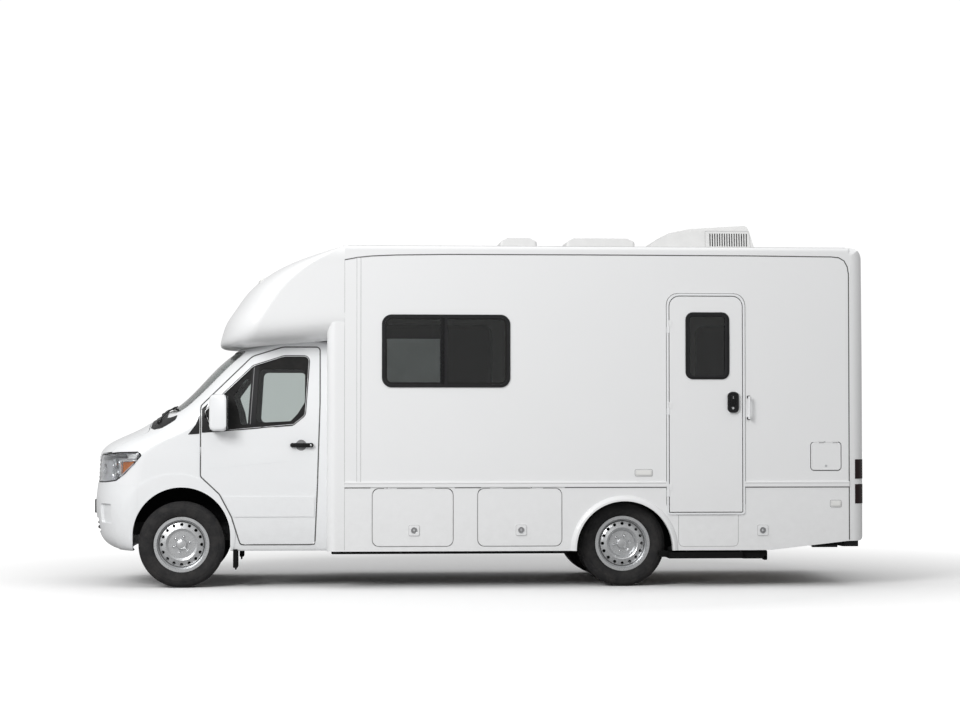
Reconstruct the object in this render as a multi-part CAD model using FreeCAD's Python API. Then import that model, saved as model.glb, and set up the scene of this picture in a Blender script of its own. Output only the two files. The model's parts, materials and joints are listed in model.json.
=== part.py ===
"""Camper van: a coachbuilt motorhome body on a full-size van cab and chassis.

Frame: origin on the ground at the middle of the overall box, +X towards the rear, +Y to the vehicle's
right, +Z up. All sizes are in millimetres. Every piece is written to parts/NODE.step.
"""

import FreeCAD
import Part

import math
import os

from FreeCAD import Vector

# Overall layout
overall_length = 7332.0
coach_width = 2330.0
coach_height = 3215.0
front_overhang = 872.0
wheelbase = 4160.0

# General fits and cutting helpers
overrun = 40.0
seat_gap = 0.4
shut_gap = 8.0
door_gap = 12.0
bearing_clearance = 0.08

# Tyres and wheels
tyre_diameter = 810.0
tyre_width = 214.0
tyre_bead_width = 164.0
tyre_shoulder = 34.0
front_track = 1744.0
rear_outer_track = 1850.0
twin_spacing = 250.0
rim_seat_diameter = 482.0
rim_flange_diameter = 520.0
rim_flange_width = 10.0
rim_well_diameter = 410.0
rim_well_width = 60.0
rim_thickness = 9.0
disc_thickness = 9.0
disc_crest_diameter = 300.0
disc_crest_inset = 14.0
disc_rim_inset = 42.0
front_recess_depth = 26.0
rear_recess_depth = 46.0
vent_hole_count = 16
vent_hole_diameter = 31.0
vent_circle_diameter = 376.0
hub_cap_diameter = 98.0
hub_cap_height = 30.0
hub_diameter = 120.0
spindle_diameter = 60.0

# Cab body
cab_length = 2266.0
cab_height = 2315.0
cab_width = 1990.0
cab_bottom = 345.0
cab_wall = 45.0
cab_roof_wall = 40.0
cab_floor_top = 640.0
cab_floor_thickness = 40.0
firewall_thickness = 30.0
firewall_setback = 1196.0

# Front wheel arch, its raised lip and its liner
arch_radius = 456.0
arch_lift = 82.0
arch_lip_width = 108.0
lip_radius = 560.0
lip_setback = 814.0
lip_centre_z = 508.0
trim_proud = 7.0
liner_radius = 490.0
liner_thickness = 8.0
liner_inner_y = 515.0
liner_outer_y = 960.0

# Bonnet, bumper, grille and headlamps
bonnet_half_width = 790.0
bonnet_front_half_width = 700.0
bonnet_length = 548.0
bonnet_front_z = 1235.0
bumper_top = 966.0
grille_half_width = 440.0
grille_top = 1212.0
grille_bar = 14.0
grille_slot = 26.0
grille_frame = 26.0
intake_half_width = 520.0
intake_bottom = 500.0
intake_top = 640.0
fog_recess_half_width = 110.0
fog_recess_offset = 760.0
fog_recess_bottom = 603.0
fog_recess_top = 786.0
fog_recess_depth = 26.0
headlamp_inner_y = 478.0
lens_thickness = 6.0

# Windscreen and cowl
glass_thickness = 6.0
windscreen_bottom = 1648.0
windscreen_top = 2222.0
windscreen_base_half_width = 800.0
windscreen_top_half_width = 690.0
windscreen_corner = 70.0
cowl_bottom = 1574.0

# Cab doors
door_length = 1107.0
door_height = 1853.0
door_bottom = 408.0
door_front_setback = 1054.0
door_glass_thickness = 5.0
moulding_bottom = 665.0
moulding_height = 190.0
moulding_margin = 14.0
mirror_width = 215.0
mirror_height = 350.0
mirror_depth = 150.0
mirror_bottom = 1473.0
mirror_setback = 1140.0
mirror_stand_off = 46.0
mirror_arm_diameter = 34.0
door_handle_length = 214.0
door_handle_height = 38.0
door_handle_depth = 36.0
door_handle_grip = 16.0
door_handle_setback = 1890.0
door_handle_z = 1338.0

# Hinges
knuckle_radius = 3.0
knuckle_length = 60.0
knuckle_gap = 0.3
leaf_reach = 26.0
leaf_thickness = 3.0
axis_sink = 2.0

# Coach shell
coach_wall = 38.0
cap_seam_setback = 2396.0
rear_cap_length = 152.0
rear_lean = 18.0
roof_edge_radius = 80.0
rear_top_radius = 118.0
rear_top_drop = 18.0
rear_top_run = 118.0
rear_bottom_radius = 60.0
wall_corner_radius = 130.0
skirt_bottom = 345.0
skirt_kick_length = 902.0
tail_bottom = 430.0
belt_bottom = 943.0
belt_height = 52.0
belt_depth = 12.0
coach_floor_top = 690.0
coach_floor_thickness = 40.0

# Front cap
cap_length = 1200.0
cap_rise = 96.0
column_depth = 164.0
cap_clearance = 1.0

# Side, rear and entry-door windows
window_front_setback = 2744.0
window_length = 1207.0
window_bottom = 1880.0
window_height = 685.0
window_radius = 92.0
window_frame_width = 30.0
window_frame_proud = 9.0
window_mullion_width = 30.0
small_window_setback = 6080.0
small_window_length = 560.0
rear_window_width = 1100.0
rear_window_bottom = 1930.0
rear_window_height = 560.0

# Entry door
entry_setback = 5461.0
entry_width = 692.0
entry_bottom = 708.0
entry_height = 2035.0
entry_radius = 95.0
entry_frame_width = 19.0
entry_frame_proud = 10.0
entry_window_width = 403.0
entry_window_height = 619.0
entry_window_lift = 1259.0
entry_window_radius = 62.0
entry_latch_width = 96.0
entry_latch_height = 192.0
entry_latch_depth = 16.0
entry_latch_lift = 938.0
entry_latch_margin = 36.0
grab_length = 216.0
grab_diameter = 22.0
grab_stand_off = 52.0
grab_gap = 62.0
grab_lift = 875.0

# Baggage doors and the lockers behind them
hatch_bottom = 395.0
hatch_height = 534.0
hatch_radius = 58.0
hatch_thickness = 30.0
front_hatch_setback = 2660.0
front_hatch_length = 750.0
rear_hatch_setback = 3648.0
rear_hatch_length = 786.0
latch_size = 96.0
latch_height = 9.0
latch_lift = 145.0
latch_share = 0.517
locker_wall = 10.0
locker_depth = 566.0
utility_setback = 6814.0
utility_bottom = 1100.0
utility_width = 285.0
utility_height = 262.0
utility_radius = 30.0
utility_depth = 90.0

# Rear wheel arches
rear_arch_radius = 456.0
rear_arch_drop = 51.0
rear_flare_width = 54.0
rear_flare_proud = 26.0
well_radius = 466.0
well_thickness = 8.0
well_inner_y = 545.0

# Roof equipment
vent_width = 400.0
small_vent_setback = 3946.0
small_vent_length = 336.0
small_vent_height = 150.0
fan_vent_setback = 4600.0
fan_vent_length = 652.0
fan_vent_height = 150.0
vent_base_height = 40.0
vent_base_wall = 30.0
vent_lid_overhang = 14.0
aircon_setback = 5366.0
aircon_length = 1070.0
aircon_width = 720.0
aircon_height = 278.0
aircon_louvre_count = 16
aircon_louvre_depth = 12.0

# Chassis
rail_half_spacing = 395.0
rail_width = 70.0
rail_bottom = 480.0
rail_height = 120.0
rail_front_setback = 180.0
rail_rear_setback = 200.0
cross_height = 66.0
cross_width = 80.0
outrigger_width = 60.0
engine_length = 820.0
engine_width = 560.0
engine_height = 640.0
engine_bottom = 470.0
engine_setback = 330.0
axle_tube_diameter = 90.0
differential_diameter = 300.0
spring_width = 64.0
spring_half_spacing = 492.0
spring_length = 1000.0
spring_leaf_height = 36.0
kingpin_half_spacing = 790.0
kingpin_diameter = 24.0
upright_height = 190.0
upright_width = 70.0
upright_depth = 56.0
arm_thickness = 28.0
arm_width = 90.0
shaft_diameter = 80.0
gearbox_length = 640.0
gearbox_width = 260.0
pipe_diameter = 56.0
muffler_length = 480.0
muffler_diameter = 170.0
tank_length = 900.0
tank_width = 210.0
tank_height = 240.0
tank_setback = 2500.0
step_width = 700.0
step_depth = 300.0
step_height = 60.0
step_plate = 6.0
step_bottom = 268.0
mudflap_width = 170.0
mudflap_thickness = 12.0
mudflap_bottom = 165.0
hitch_tube = 63.0
hitch_bore = 51.0
hitch_length = 260.0
hitch_pin_diameter = 16.0
hitch_pin_setback = 64.0
rear_beam_width = 2060.0
rear_beam_depth = 190.0
rear_beam_height = 60.0

# Tail lamps
lamp_height = 183.0
lamp_gap = 52.0
lamp_bottom = 783.0
lamp_reach = 95.0
lamp_wrap = 240.0
lamp_depth = 24.0
lamp_proud = 3.0

# Cab fittings
dash_depth = 400.0
dash_bottom = 980.0
dash_top = 1540.0
wheel_diameter = 390.0
wheel_rim_diameter = 28.0
steering_y = 430.0
steering_z = 1370.0
steering_setback = 1440.0
seat_width = 500.0
seat_depth = 520.0
seat_thickness = 130.0
seat_base_height = 330.0
seat_back_height = 640.0
seat_back_thickness = 120.0
seat_half_spacing = 470.0
seat_setback = 1560.0
headrest_height = 170.0

# Derived places
x_nose = -overall_length / 2
x_tail = overall_length / 2
x_front_axle = x_nose + front_overhang
x_rear_axle = x_front_axle + wheelbase
axle_z = tyre_diameter / 2
y_side = coach_width / 2
x_seam = x_nose + cap_seam_setback
x_rear_seam = x_tail - rear_cap_length
x_cab_rear = x_nose + cab_length

SOLIDS = {}


def keep(name, *shapes):
    """Stores the solids of one node."""
    SOLIDS.setdefault(name, []).extend(s for shape in shapes for s in shape.Solids)


def box(x_range, y_range, z_range):
    """A box between two x, two y and two z values, in any order."""
    low = Vector(min(x_range), min(y_range), min(z_range))
    high = Vector(max(x_range), max(y_range), max(z_range))
    return Part.makeBox(high.x - low.x, high.y - low.y, high.z - low.z, low)


def mirrored(shape):
    """The same shape on the other side of the vehicle."""
    return shape.mirror(Vector(0, 0, 0), Vector(0, 1, 0))


def both(shape):
    """A shape and its mirror image."""
    return [shape, mirrored(shape)]


def fused(*shapes):
    """One solid from several, with its joint lines removed."""
    whole = shapes[0]
    for shape in shapes[1:]:
        whole = whole.fuse(shape)
    return whole.removeSplitter()


def without(shape, *tools):
    """A shape with the tools cut out of it."""
    for tool in tools:
        shape = shape.cut(tool)
    return shape


def place(plane, a, b):
    """A point of an outline, in the xz, xy or yz plane."""
    return {"xz": Vector(a, 0, b), "xy": Vector(a, b, 0), "yz": Vector(0, a, b)}[plane]


def outline(corners, plane):
    """A closed wire through corners (a, b, radius), each rounded by its radius."""
    points = [place(plane, a, b) for a, b, _ in corners]
    count = len(corners)
    bends = []
    for i, (_, _, radius) in enumerate(corners):
        here = points[i]
        back = points[i - 1] - here
        ahead = points[(i + 1) % count] - here
        if radius == 0:
            bends.append((here, None, here))
            continue
        half = back.getAngle(ahead) / 2
        reach = min(radius / math.tan(half), min(back.Length, ahead.Length) * 0.499)
        radius = reach * math.tan(half)
        back.normalize()
        ahead.normalize()
        middle = (back + ahead).normalize()
        centre = here + middle * (radius / math.sin(half))
        bends.append((here + back * reach, centre - middle * radius, here + ahead * reach))
    edges = []
    for i, (start, middle, end) in enumerate(bends):
        if middle is not None:
            edges.append(Part.Arc(start, middle, end).toShape())
        following = bends[(i + 1) % count][0]
        if end.distanceToPoint(following) > 1e-6:
            edges.append(Part.LineSegment(end, following).toShape())
    return Part.Wire(Part.__sortEdges__(edges))


NORMALS = {"xz": Vector(0, 1, 0), "xy": Vector(0, 0, 1), "yz": Vector(1, 0, 0)}


def extruded(wire, plane, low, high):
    """A wire of one plane as a solid between two levels along the plane's normal."""
    normal = NORMALS[plane]
    face = Part.Face(wire)
    face.translate(normal * low)
    return face.extrude(normal * (high - low))


def prism(corners, plane, low, high):
    """A rounded outline as a solid between two levels."""
    return extruded(outline(corners, plane), plane, low, high)


def rectangle(a_low, a_high, b_low, b_high, radius):
    """Corners of a rectangle with equal corner radii."""
    return [
        (a_low, b_low, radius),
        (a_high, b_low, radius),
        (a_high, b_high, radius),
        (a_low, b_high, radius),
    ]


def cylinder(centre, direction, diameter, length):
    """A cylinder centred on a point."""
    along = Vector(direction)
    return Part.makeCylinder(diameter / 2, length, centre - along * (length / 2), along)


X_AXIS = Vector(1, 0, 0)
Y_AXIS = Vector(0, 1, 0)
Z_AXIS = Vector(0, 0, 1)


def revolved(profile, centre):
    """A closed (radius, y) profile turned about the line through centre along Y."""
    points = [Vector(centre.x + r, centre.y + y, centre.z) for r, y in profile]
    wire = Part.makePolygon(points + [points[0]])
    return Part.Face(wire).revolve(centre, Y_AXIS, 360)


def hinge_leaf(centre, axis, toward, length):
    """A hinge knuckle with its leaf, reaching from the axis in one direction."""
    knuckle = cylinder(centre, axis, knuckle_radius * 2, length)
    across = Vector(axis).cross(toward)
    corner = centre - axis * (length / 2) - across * (leaf_thickness / 2)
    plate = Part.makeBox(length, leaf_reach, leaf_thickness)
    frame = FreeCAD.Matrix(
        axis.x, toward.x, across.x, corner.x,
        axis.y, toward.y, across.y, corner.y,
        axis.z, toward.z, across.z, corner.z,
        0, 0, 0, 1,
    )
    return knuckle.fuse(plate.transformGeometry(frame))


def hinge_pair(centre, axis, toward):
    """The moving leaf and the fixed leaf of one hinge, end to end on its axis."""
    shift = axis * ((knuckle_length + knuckle_gap) / 2)
    moving = hinge_leaf(centre + shift, axis, toward, knuckle_length)
    fixed = hinge_leaf(centre - shift, axis, toward * -1, knuckle_length)
    return moving, fixed


# Cab body surface: plan outlines stacked in height. Each row holds the height as a share of the cab's
# height, then the front's setback and the bow's depth as shares of the cab's length, then the width as
# a share of the cab's width.
cab_shares = [
    (0.149, 0.100, 0.150, 0.955),
    (0.164, 0.058, 0.165, 0.968),
    (0.190, 0.029, 0.180, 0.977),
    (0.233, 0.012, 0.190, 0.987),
    (0.302, 0.001, 0.199, 0.995),
    (0.367, 0.002, 0.204, 0.999),
    (0.423, 0.008, 0.213, 1.000),
    (0.475, 0.011, 0.219, 1.000),
    (0.518, 0.014, 0.221, 1.000),
    (0.542, 0.020, 0.223, 0.999),
    (0.568, 0.040, 0.232, 0.997),
    (0.599, 0.090, 0.240, 0.995),
    (0.634, 0.170, 0.238, 0.992),
    (0.675, 0.245, 0.222, 0.987),
    (0.718, 0.317, 0.180, 0.977),
    (0.842, 0.457, 0.165, 0.920),
    (0.962, 0.592, 0.160, 0.852),
    (0.987, 0.634, 0.160, 0.834),
    (1.000, 0.670, 0.160, 0.820),
]
side_pull_share = 0.60
front_pull_share = 0.65


def section_values(z):
    """Front setback, bow and half width of the cab at a height, read between the rows."""
    share = z / cab_height
    for low, high in zip(cab_shares, cab_shares[1:]):
        if share <= high[0] or high is cab_shares[-1]:
            t = (share - low[0]) / (high[0] - low[0])
            setback, bow, width = (low[k] + (high[k] - low[k]) * t for k in (1, 2, 3))
            slope = (high[1] - low[1]) * cab_length / ((high[0] - low[0]) * cab_height)
            return setback * cab_length, bow * cab_length, width * cab_width / 2, slope
    return None


def bowed_outline(front, turn, half, rear, z, slope=0):
    """A plan outline with a bowed front that turns into straight sides, rising rearwards by a slope."""
    x_level = x_seam - cap_length
    side_pole = turn - (turn - front) * side_pull_share
    right = [(turn, half), (side_pole, half), (front, half * front_pull_share), (front, 0)]
    poles = [Vector(a, b, z + (a - x_level) * slope) for a, b in right]
    poles += [Vector(p.x, -p.y, p.z) for p in reversed(poles[:-1])]
    curve = Part.BSplineCurve()
    curve.buildFromPolesMultsKnots(poles, [4, 3, 4], [0, 1, 2], False, 3)
    z_rear = z + (rear - x_level) * slope
    corners = [poles[-1], Vector(rear, -half, z_rear), Vector(rear, half, z_rear), poles[0]]
    edges = [curve.toShape()]
    edges += [Part.LineSegment(a, b).toShape() for a, b in zip(corners, corners[1:])]
    return Part.Wire(edges)


def cab_section(z, inset, rear):
    """A plan outline of the cab at one height, set inwards by an inset."""
    setback, bow, half, slope = section_values(z)
    front = x_nose + setback + inset * math.hypot(1, slope)
    return bowed_outline(front, x_nose + setback + bow, half - inset, rear, z)


def cab_body(inset, rear, top):
    """The cab's solid outer form, set inwards by an inset and cut off at a height."""
    form = Part.makeLoft([cab_section(row[0] * cab_height, inset, rear) for row in cab_shares], True, False)
    if top < cab_height:
        form = form.cut(box((x_nose - overrun, rear + overrun), (-cab_width, cab_width),
                            (top, cab_height + overrun)))
    return form


def cab_skin(outer, inner):
    """The layer of the cab body between two insets, open at the bottom and the back."""
    rear = x_cab_rear + overrun * inner / cab_wall
    top = cab_height - cab_roof_wall * inner / cab_wall
    cover = cab_body(outer, x_cab_rear, cab_height - cab_roof_wall * outer / cab_wall)
    return cover.cut(cab_body(inner, rear, top))


def share_corners(shares, x_start, x_length, z_start, z_length, radius):
    """Outline corners from shares of a length and a height, all with one radius."""
    return [(x_start + a * x_length, z_start + b * z_length, radius * c) for a, b, c in shares]


def grown(corners, plane, low, high, gap):
    """The prism of an outline, grown outwards all round by a gap."""
    wire = outline(corners, plane).makeOffset2D(gap)
    return extruded(wire, plane, low, high)


# Cab openings. Each outline is in shares of the door's length and height: place, place, radius share.
door_shares = [
    (0.335, 0.000, 0.5), (0.958, 0.000, 0.5), (0.979, 0.300, 0.0), (1.000, 0.720, 0.0),
    (1.000, 1.000, 0.5), (0.690, 1.000, 3.0), (0.430, 0.952, 2.0), (0.000, 0.700, 0.6),
    (0.000, 0.345, 0.6), (0.160, 0.255, 1.5), (0.262, 0.140, 1.5),
]
window_shares = [
    (0.100, 0.574, 0.4), (0.420, 0.590, 0.0), (0.780, 0.609, 0.0), (0.875, 0.655, 1.0),
    (0.912, 0.955, 0.8), (0.700, 0.955, 2.0), (0.440, 0.905, 2.0), (0.030, 0.672, 0.4),
]
lamp_shares = [
    (-0.200, 0.020, 0.0), (0.240, 0.050, 0.0), (0.460, 0.110, 1.0), (0.620, 0.330, 1.0),
    (0.900, 0.880, 0.6), (0.850, 1.000, 0.6), (0.480, 0.980, 0.0), (-0.200, 0.820, 0.0),
]
door_corner = 60.0
lamp_corner = 26.0
lamp_length = 560.0
lamp_base = 966.0
lamp_rise = 314.0

door_front = x_nose + door_front_setback
door_rear = door_front + door_length
door_corners = share_corners(door_shares, door_front, door_length, door_bottom, door_height, door_corner)
pane_corners = share_corners(window_shares, door_front, door_length, door_bottom, door_height, door_corner)
head_corners = share_corners(lamp_shares, x_nose, lamp_length, lamp_base, lamp_rise, lamp_corner)
half_cab = cab_width / 2
y_out = half_cab + overrun
y_deep = half_cab / 2

bonnet_rear = x_nose + bonnet_length
bonnet_corners = [
    (x_nose - overrun, -bonnet_front_half_width, 0),
    (x_nose - overrun, bonnet_front_half_width, 0),
    (bonnet_rear - bonnet_length / 3, bonnet_half_width, 0),
    (bonnet_rear, bonnet_half_width, door_corner),
    (bonnet_rear, -bonnet_half_width, door_corner),
    (bonnet_rear - bonnet_length / 3, -bonnet_half_width, 0),
]
screen_corners = [
    (-windscreen_base_half_width, windscreen_bottom, windscreen_corner),
    (windscreen_base_half_width, windscreen_bottom, windscreen_corner),
    (windscreen_top_half_width, windscreen_top, windscreen_corner),
    (-windscreen_top_half_width, windscreen_top, windscreen_corner),
]
screen_reach = x_nose + cab_length * 0.72
grille_bottom = bumper_top + seat_gap
x_bumper_rear = x_front_axle - arch_radius + grille_frame * 2
arch_centre = Vector(x_front_axle, 0, axle_z + arch_lift)


def arch_tunnel(radius, y_low, y_high):
    """The open space of a wheel arch: a half round over straight sides."""
    x_low, x_high = x_front_axle - radius, x_front_axle + radius
    corners = [
        (x_low, 0, 0),
        (x_high, 0, 0),
        (x_high, arch_centre.z + radius, radius * 0.998),
        (x_low, arch_centre.z + radius, radius * 0.998),
    ]
    return prism(corners, "xz", y_low, y_high)


def top_of(shape, x, y):
    """The height of a shape's highest point over one place."""
    line = Part.makeLine(Vector(x, y, 0), Vector(x, y, coach_height))
    return shape.common(line).BoundBox.ZMax


def beside(shape, x, z):
    """How far out a shape's outermost point stands at one place of its side."""
    line = Part.makeLine(Vector(x, 0, z), Vector(x, coach_width, z))
    return shape.common(line).BoundBox.YMax


def build_cab():
    """Cab shell with its doors, bonnet, bumper, grille, glass and lamps."""
    skin = cab_skin(0, cab_wall)
    glass_skin = cab_skin(glass_thickness, glass_thickness * 2)
    lens_skin = cab_skin(0, lens_thickness)
    grille_skin = cab_skin(lens_thickness, grille_frame)

    arches = both(arch_tunnel(arch_radius, half_cab / 2, y_out))
    skin = without(skin, *arches)
    door_cut = grown(door_corners, "xz", y_deep, y_out, door_gap)
    bonnet_low = bonnet_front_z
    bonnet_cut = grown(bonnet_corners, "xy", bonnet_low - shut_gap, cab_height, shut_gap)
    screen_cut = prism(screen_corners, "yz", x_nose - overrun, screen_reach)
    lamp_cut = prism(head_corners, "xz", headlamp_inner_y, y_out)
    lamp_cut = lamp_cut.cut(cab_body(cab_wall - lens_thickness, x_seam, cab_height))
    grille_cut = prism(
        rectangle(-grille_half_width, grille_half_width, grille_bottom, grille_top, grille_frame),
        "yz", x_nose - overrun, x_nose + cab_length / 8,
    )
    bumper_zone = box((x_nose - overrun, x_bumper_rear), (-y_out, y_out), (0, bumper_top))

    # One layer a little proud of the skin gives the wheel arch's lip and the doors' moulding
    proud = cab_skin(-trim_proud, trim_proud)
    lip_centre = Vector(x_nose + lip_setback, half_cab / 2, lip_centre_z)
    lip = proud.common(Part.makeCylinder(lip_radius, y_out - lip_centre.y, lip_centre, Y_AXIS))
    lip = without(lip, arches[0], door_cut)
    lips = both(lip)

    shell = without(
        skin, door_cut, mirrored(door_cut), bonnet_cut, screen_cut, lamp_cut,
        mirrored(lamp_cut), grille_cut,
    )
    shell = shell.fuse(lips[0]).fuse(lips[1]).cut(bumper_zone)
    door = skin.common(prism(door_corners, "xz", y_deep, y_out))
    pane_hole = prism(pane_corners, "xz", y_deep, y_out)
    door = door.cut(pane_hole)
    band = box((door_front, door_rear), (y_deep, y_out), (moulding_bottom, moulding_bottom + moulding_height))
    band = band.common(grown(door_corners, "xz", y_deep, y_out, -moulding_margin))
    door = door.fuse(proud.common(band))
    grip_x = x_nose + door_handle_setback
    grip_y = beside(door, grip_x + door_handle_length / 2, door_handle_z)
    low, high = door_handle_z - door_handle_height / 2, door_handle_z + door_handle_height / 2
    grip = prism(rectangle(grip_x, grip_x + door_handle_length, low, high, door_handle_height / 2), "xz",
                 grip_y - trim_proud, grip_y + door_handle_depth)
    grip = grip.cut(box((grip_x + door_handle_height, grip_x + door_handle_length - door_handle_height),
                        (grip_y + trim_proud / 2, grip_y + door_handle_grip), (low - overrun, high + overrun)))
    door = door.fuse(grip)
    pane = glass_skin.common(grown(pane_corners, "xz", y_deep, y_out, -seat_gap))

    # Door hinges: the knuckles stand in the front shut gap, just under the skin
    hinge_x = door_front - door_gap / 2
    hinge_y = half_cab - axis_sink
    for share in (0.38, 0.46):
        centre = Vector(hinge_x, hinge_y, door_bottom + door_height * share)
        moving, fixed = hinge_pair(centre, Z_AXIS, X_AXIS)
        door = door.fuse(moving)
        shell = shell.fuse(fixed).fuse(mirrored(fixed))

    bonnet = skin.common(prism(bonnet_corners, "xy", bonnet_low, cab_height))
    bonnet = bonnet.cut(box((bonnet_rear, x_cab_rear), (-y_out, y_out), (bonnet_low, cab_height)))
    lamp_room = grown(head_corners, "xz", headlamp_inner_y - shut_gap, y_out, shut_gap)
    bonnet = without(bonnet, lamp_room, mirrored(lamp_room))
    hinge_z = top_of(skin, bonnet_rear, bonnet_half_width / 8) - axis_sink
    for y in (-bonnet_half_width / 8, bonnet_half_width / 8):
        moving, fixed = hinge_pair(Vector(bonnet_rear + shut_gap / 2, y, hinge_z), Y_AXIS, X_AXIS * -1)
        bonnet = bonnet.fuse(moving)
        shell = shell.fuse(fixed)

    screen = glass_skin.common(
        extruded(outline(screen_corners, "yz").makeOffset2D(-seat_gap), "yz", x_nose - overrun, screen_reach)
    )
    lens = lens_skin.common(grown(head_corners, "xz", headlamp_inner_y + seat_gap, y_out, -seat_gap))
    grille = grille_skin.common(
        prism(
            rectangle(
                seat_gap - grille_half_width, grille_half_width - seat_gap,
                grille_bottom + seat_gap, grille_top - seat_gap, grille_frame - seat_gap,
            ),
            "yz", x_nose - overrun, x_nose + cab_length / 8,
        )
    )
    pitch = grille_bar + grille_slot
    z = grille_bottom + grille_frame
    while z + grille_slot < grille_top - grille_frame:
        slot = box(
            (x_nose - overrun, x_nose + cab_length / 8),
            (grille_frame - grille_half_width, grille_half_width - grille_frame),
            (z, z + grille_slot),
        )
        grille = grille.cut(slot)
        z += pitch

    bumper_room = box((x_nose - overrun, x_bumper_rear - seat_gap), (-y_out, y_out), (0, bumper_top - seat_gap))
    bumper = skin.fuse(lips[0]).fuse(lips[1]).common(bumper_room)
    intake = prism(
        rectangle(-intake_half_width, intake_half_width, intake_bottom, intake_top, grille_frame),
        "yz", x_nose - overrun, x_nose + cab_length / 4,
    )
    bumper = bumper.cut(intake)
    fog_layer = cab_skin(0, fog_recess_depth)
    for sign in (-1, 1):
        low = sign * fog_recess_offset - fog_recess_half_width
        fog = prism(
            rectangle(low, low + 2 * fog_recess_half_width, fog_recess_bottom, fog_recess_top, grille_frame),
            "yz", x_nose - overrun, x_bumper_rear - arch_lip_width,
        )
        bumper = bumper.cut(fog.common(fog_layer))

    keep("cab_shell", shell)
    keep("cab_door_right", door)
    keep("cab_door_left", mirrored(door))
    keep("cab_door_glass_right", pane)
    keep("cab_door_glass_left", mirrored(pane))
    keep("bonnet", bonnet)
    keep("windscreen", screen)
    keep("headlamp_lenses", *both(lens))
    keep("grille", grille)
    keep("front_bumper", bumper)


# Overcab surface, from the seam forward: height as a share of the coach's height, reach and bow as
# shares of the cap's length, width as a share of the coach's width, and the share of the lower edge's
# rise towards the seam that the row takes.
cap_shares = [
    (0.6974, 0.855, 0.300, 0.800, 1.0),
    (0.7045, 0.971, 0.320, 0.870, 1.0),
    (0.7157, 1.000, 0.320, 0.930, 1.0),
    (0.7412, 0.987, 0.320, 0.985, 0.9),
    (0.7776, 0.953, 0.320, 1.000, 0.6),
    (0.8177, 0.884, 0.310, 1.000, 0.25),
    (0.8728, 0.778, 0.300, 1.000, 0.0),
    (0.9166, 0.642, 0.280, 1.000, 0.0),
    (0.9462, 0.506, 0.250, 1.000, 0.0),
    (0.9720, 0.330, 0.200, 1.000, 0.0),
    (0.9882, 0.174, 0.120, 0.990, 0.0),
    (0.9953, 0.080, 0.060, 0.971, 0.0),
    (1.0000, 0.030, 0.020, 0.931, 0.0),
]
y_inner = y_side - coach_wall
roof_seam = coach_height - roof_edge_radius
belt_top = belt_bottom + belt_height
cap_bottom = cap_shares[0][0] * coach_height


def cap_section(z, inset, rear):
    """A plan outline of the overcab at one height, set inwards by an inset."""
    share = z / coach_height
    for low, high in zip(cap_shares, cap_shares[1:]):
        if share <= high[0] or high is cap_shares[-1]:
            t = (share - low[0]) / (high[0] - low[0])
            reach, bow, width, lift = (low[k] + (high[k] - low[k]) * t for k in (1, 2, 3, 4))
            slope = (high[1] - low[1]) * cap_length / ((high[0] - low[0]) * coach_height)
            front = x_seam - reach * cap_length + inset * min(math.hypot(1, slope), 3)
            turn = max(x_seam - (reach - bow) * cap_length, front)
            return bowed_outline(front, turn, width * y_side - inset, rear, z, lift * cap_rise / cap_length)
    return None


def cap_form(inset, rear):
    """The overcab's solid form, set inwards by an inset."""
    low, high = cap_bottom + inset, coach_height - inset
    heights = [row[0] * coach_height for row in cap_shares]
    levels = [low] + [z for z in heights if low < z < high] + [high]
    return Part.makeLoft([cap_section(z, inset, rear) for z in levels], True, False)


def build_front_cap():
    """The overcab moulding with its corner columns, fitted round the cab."""
    cap = cap_form(0, x_seam).cut(cap_form(coach_wall, x_seam + overrun))
    x_front = x_seam - column_depth
    corners = [
        (x_front, y_deep, 0), (x_front, y_side, column_depth), (x_seam, y_side, 0), (x_seam, y_deep, 0),
    ]
    hollow = [
        (x_front + coach_wall, 0, 0),
        (x_front + coach_wall, y_inner, column_depth - coach_wall),
        (x_seam + overrun, y_inner, 0),
        (x_seam + overrun, 0, 0),
    ]
    column = prism(corners, "xy", skirt_bottom, cap_bottom + cap_rise + coach_wall * 4)
    column = column.cut(prism(hollow, "xy", skirt_bottom - overrun, coach_height))
    over_cab = cap_form(coach_wall, x_seam + overrun)
    column = column.cut(over_cab)
    cap = cap.fuse(column).fuse(mirrored(column))
    clear_cab = cab_body(-cap_clearance, x_seam + overrun, cab_height)
    return cap.cut(clear_cab)


def coach_section(inset, low, x_low, x_high):
    """The coach's cross-section as a solid, rounded at the roof's edges."""
    corners = [
        (inset - y_side, low, 0),
        (y_side - inset, low, 0),
        (y_side - inset, coach_height - inset, roof_edge_radius - inset),
        (inset - y_side, coach_height - inset, roof_edge_radius - inset),
    ]
    return prism(corners, "yz", x_low, x_high)


def tail_form(inset):
    """The rear cap's solid form, set inwards by an inset."""
    x_low = x_rear_seam - (overrun if inset > 0 else 0)
    x_start = x_low - rear_cap_length
    x_back = x_tail - rear_lean - inset
    top = coach_height - inset
    climb = (x_back - rear_top_run - x_start) * rear_top_drop / rear_top_run
    side = [
        (x_start, tail_bottom + inset, 0),
        (x_tail - inset, tail_bottom + inset, rear_bottom_radius),
        (x_tail - inset, coach_height / 2, 0),
        (x_back, top - rear_top_drop, rear_top_radius - inset),
        (x_start, top + climb, 0),
    ]
    plan = [
        (x_start, inset - y_side, 0),
        (x_tail - inset, inset - y_side, wall_corner_radius - inset),
        (x_tail - inset, y_side - inset, wall_corner_radius - inset),
        (x_start, y_side - inset, 0),
    ]
    form = prism(side, "xz", -y_side - overrun, y_side + overrun)
    form = form.common(prism(plan, "xy", 0, coach_height + overrun))
    return form.common(coach_section(inset, 0, x_low, x_tail + overrun))


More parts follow.
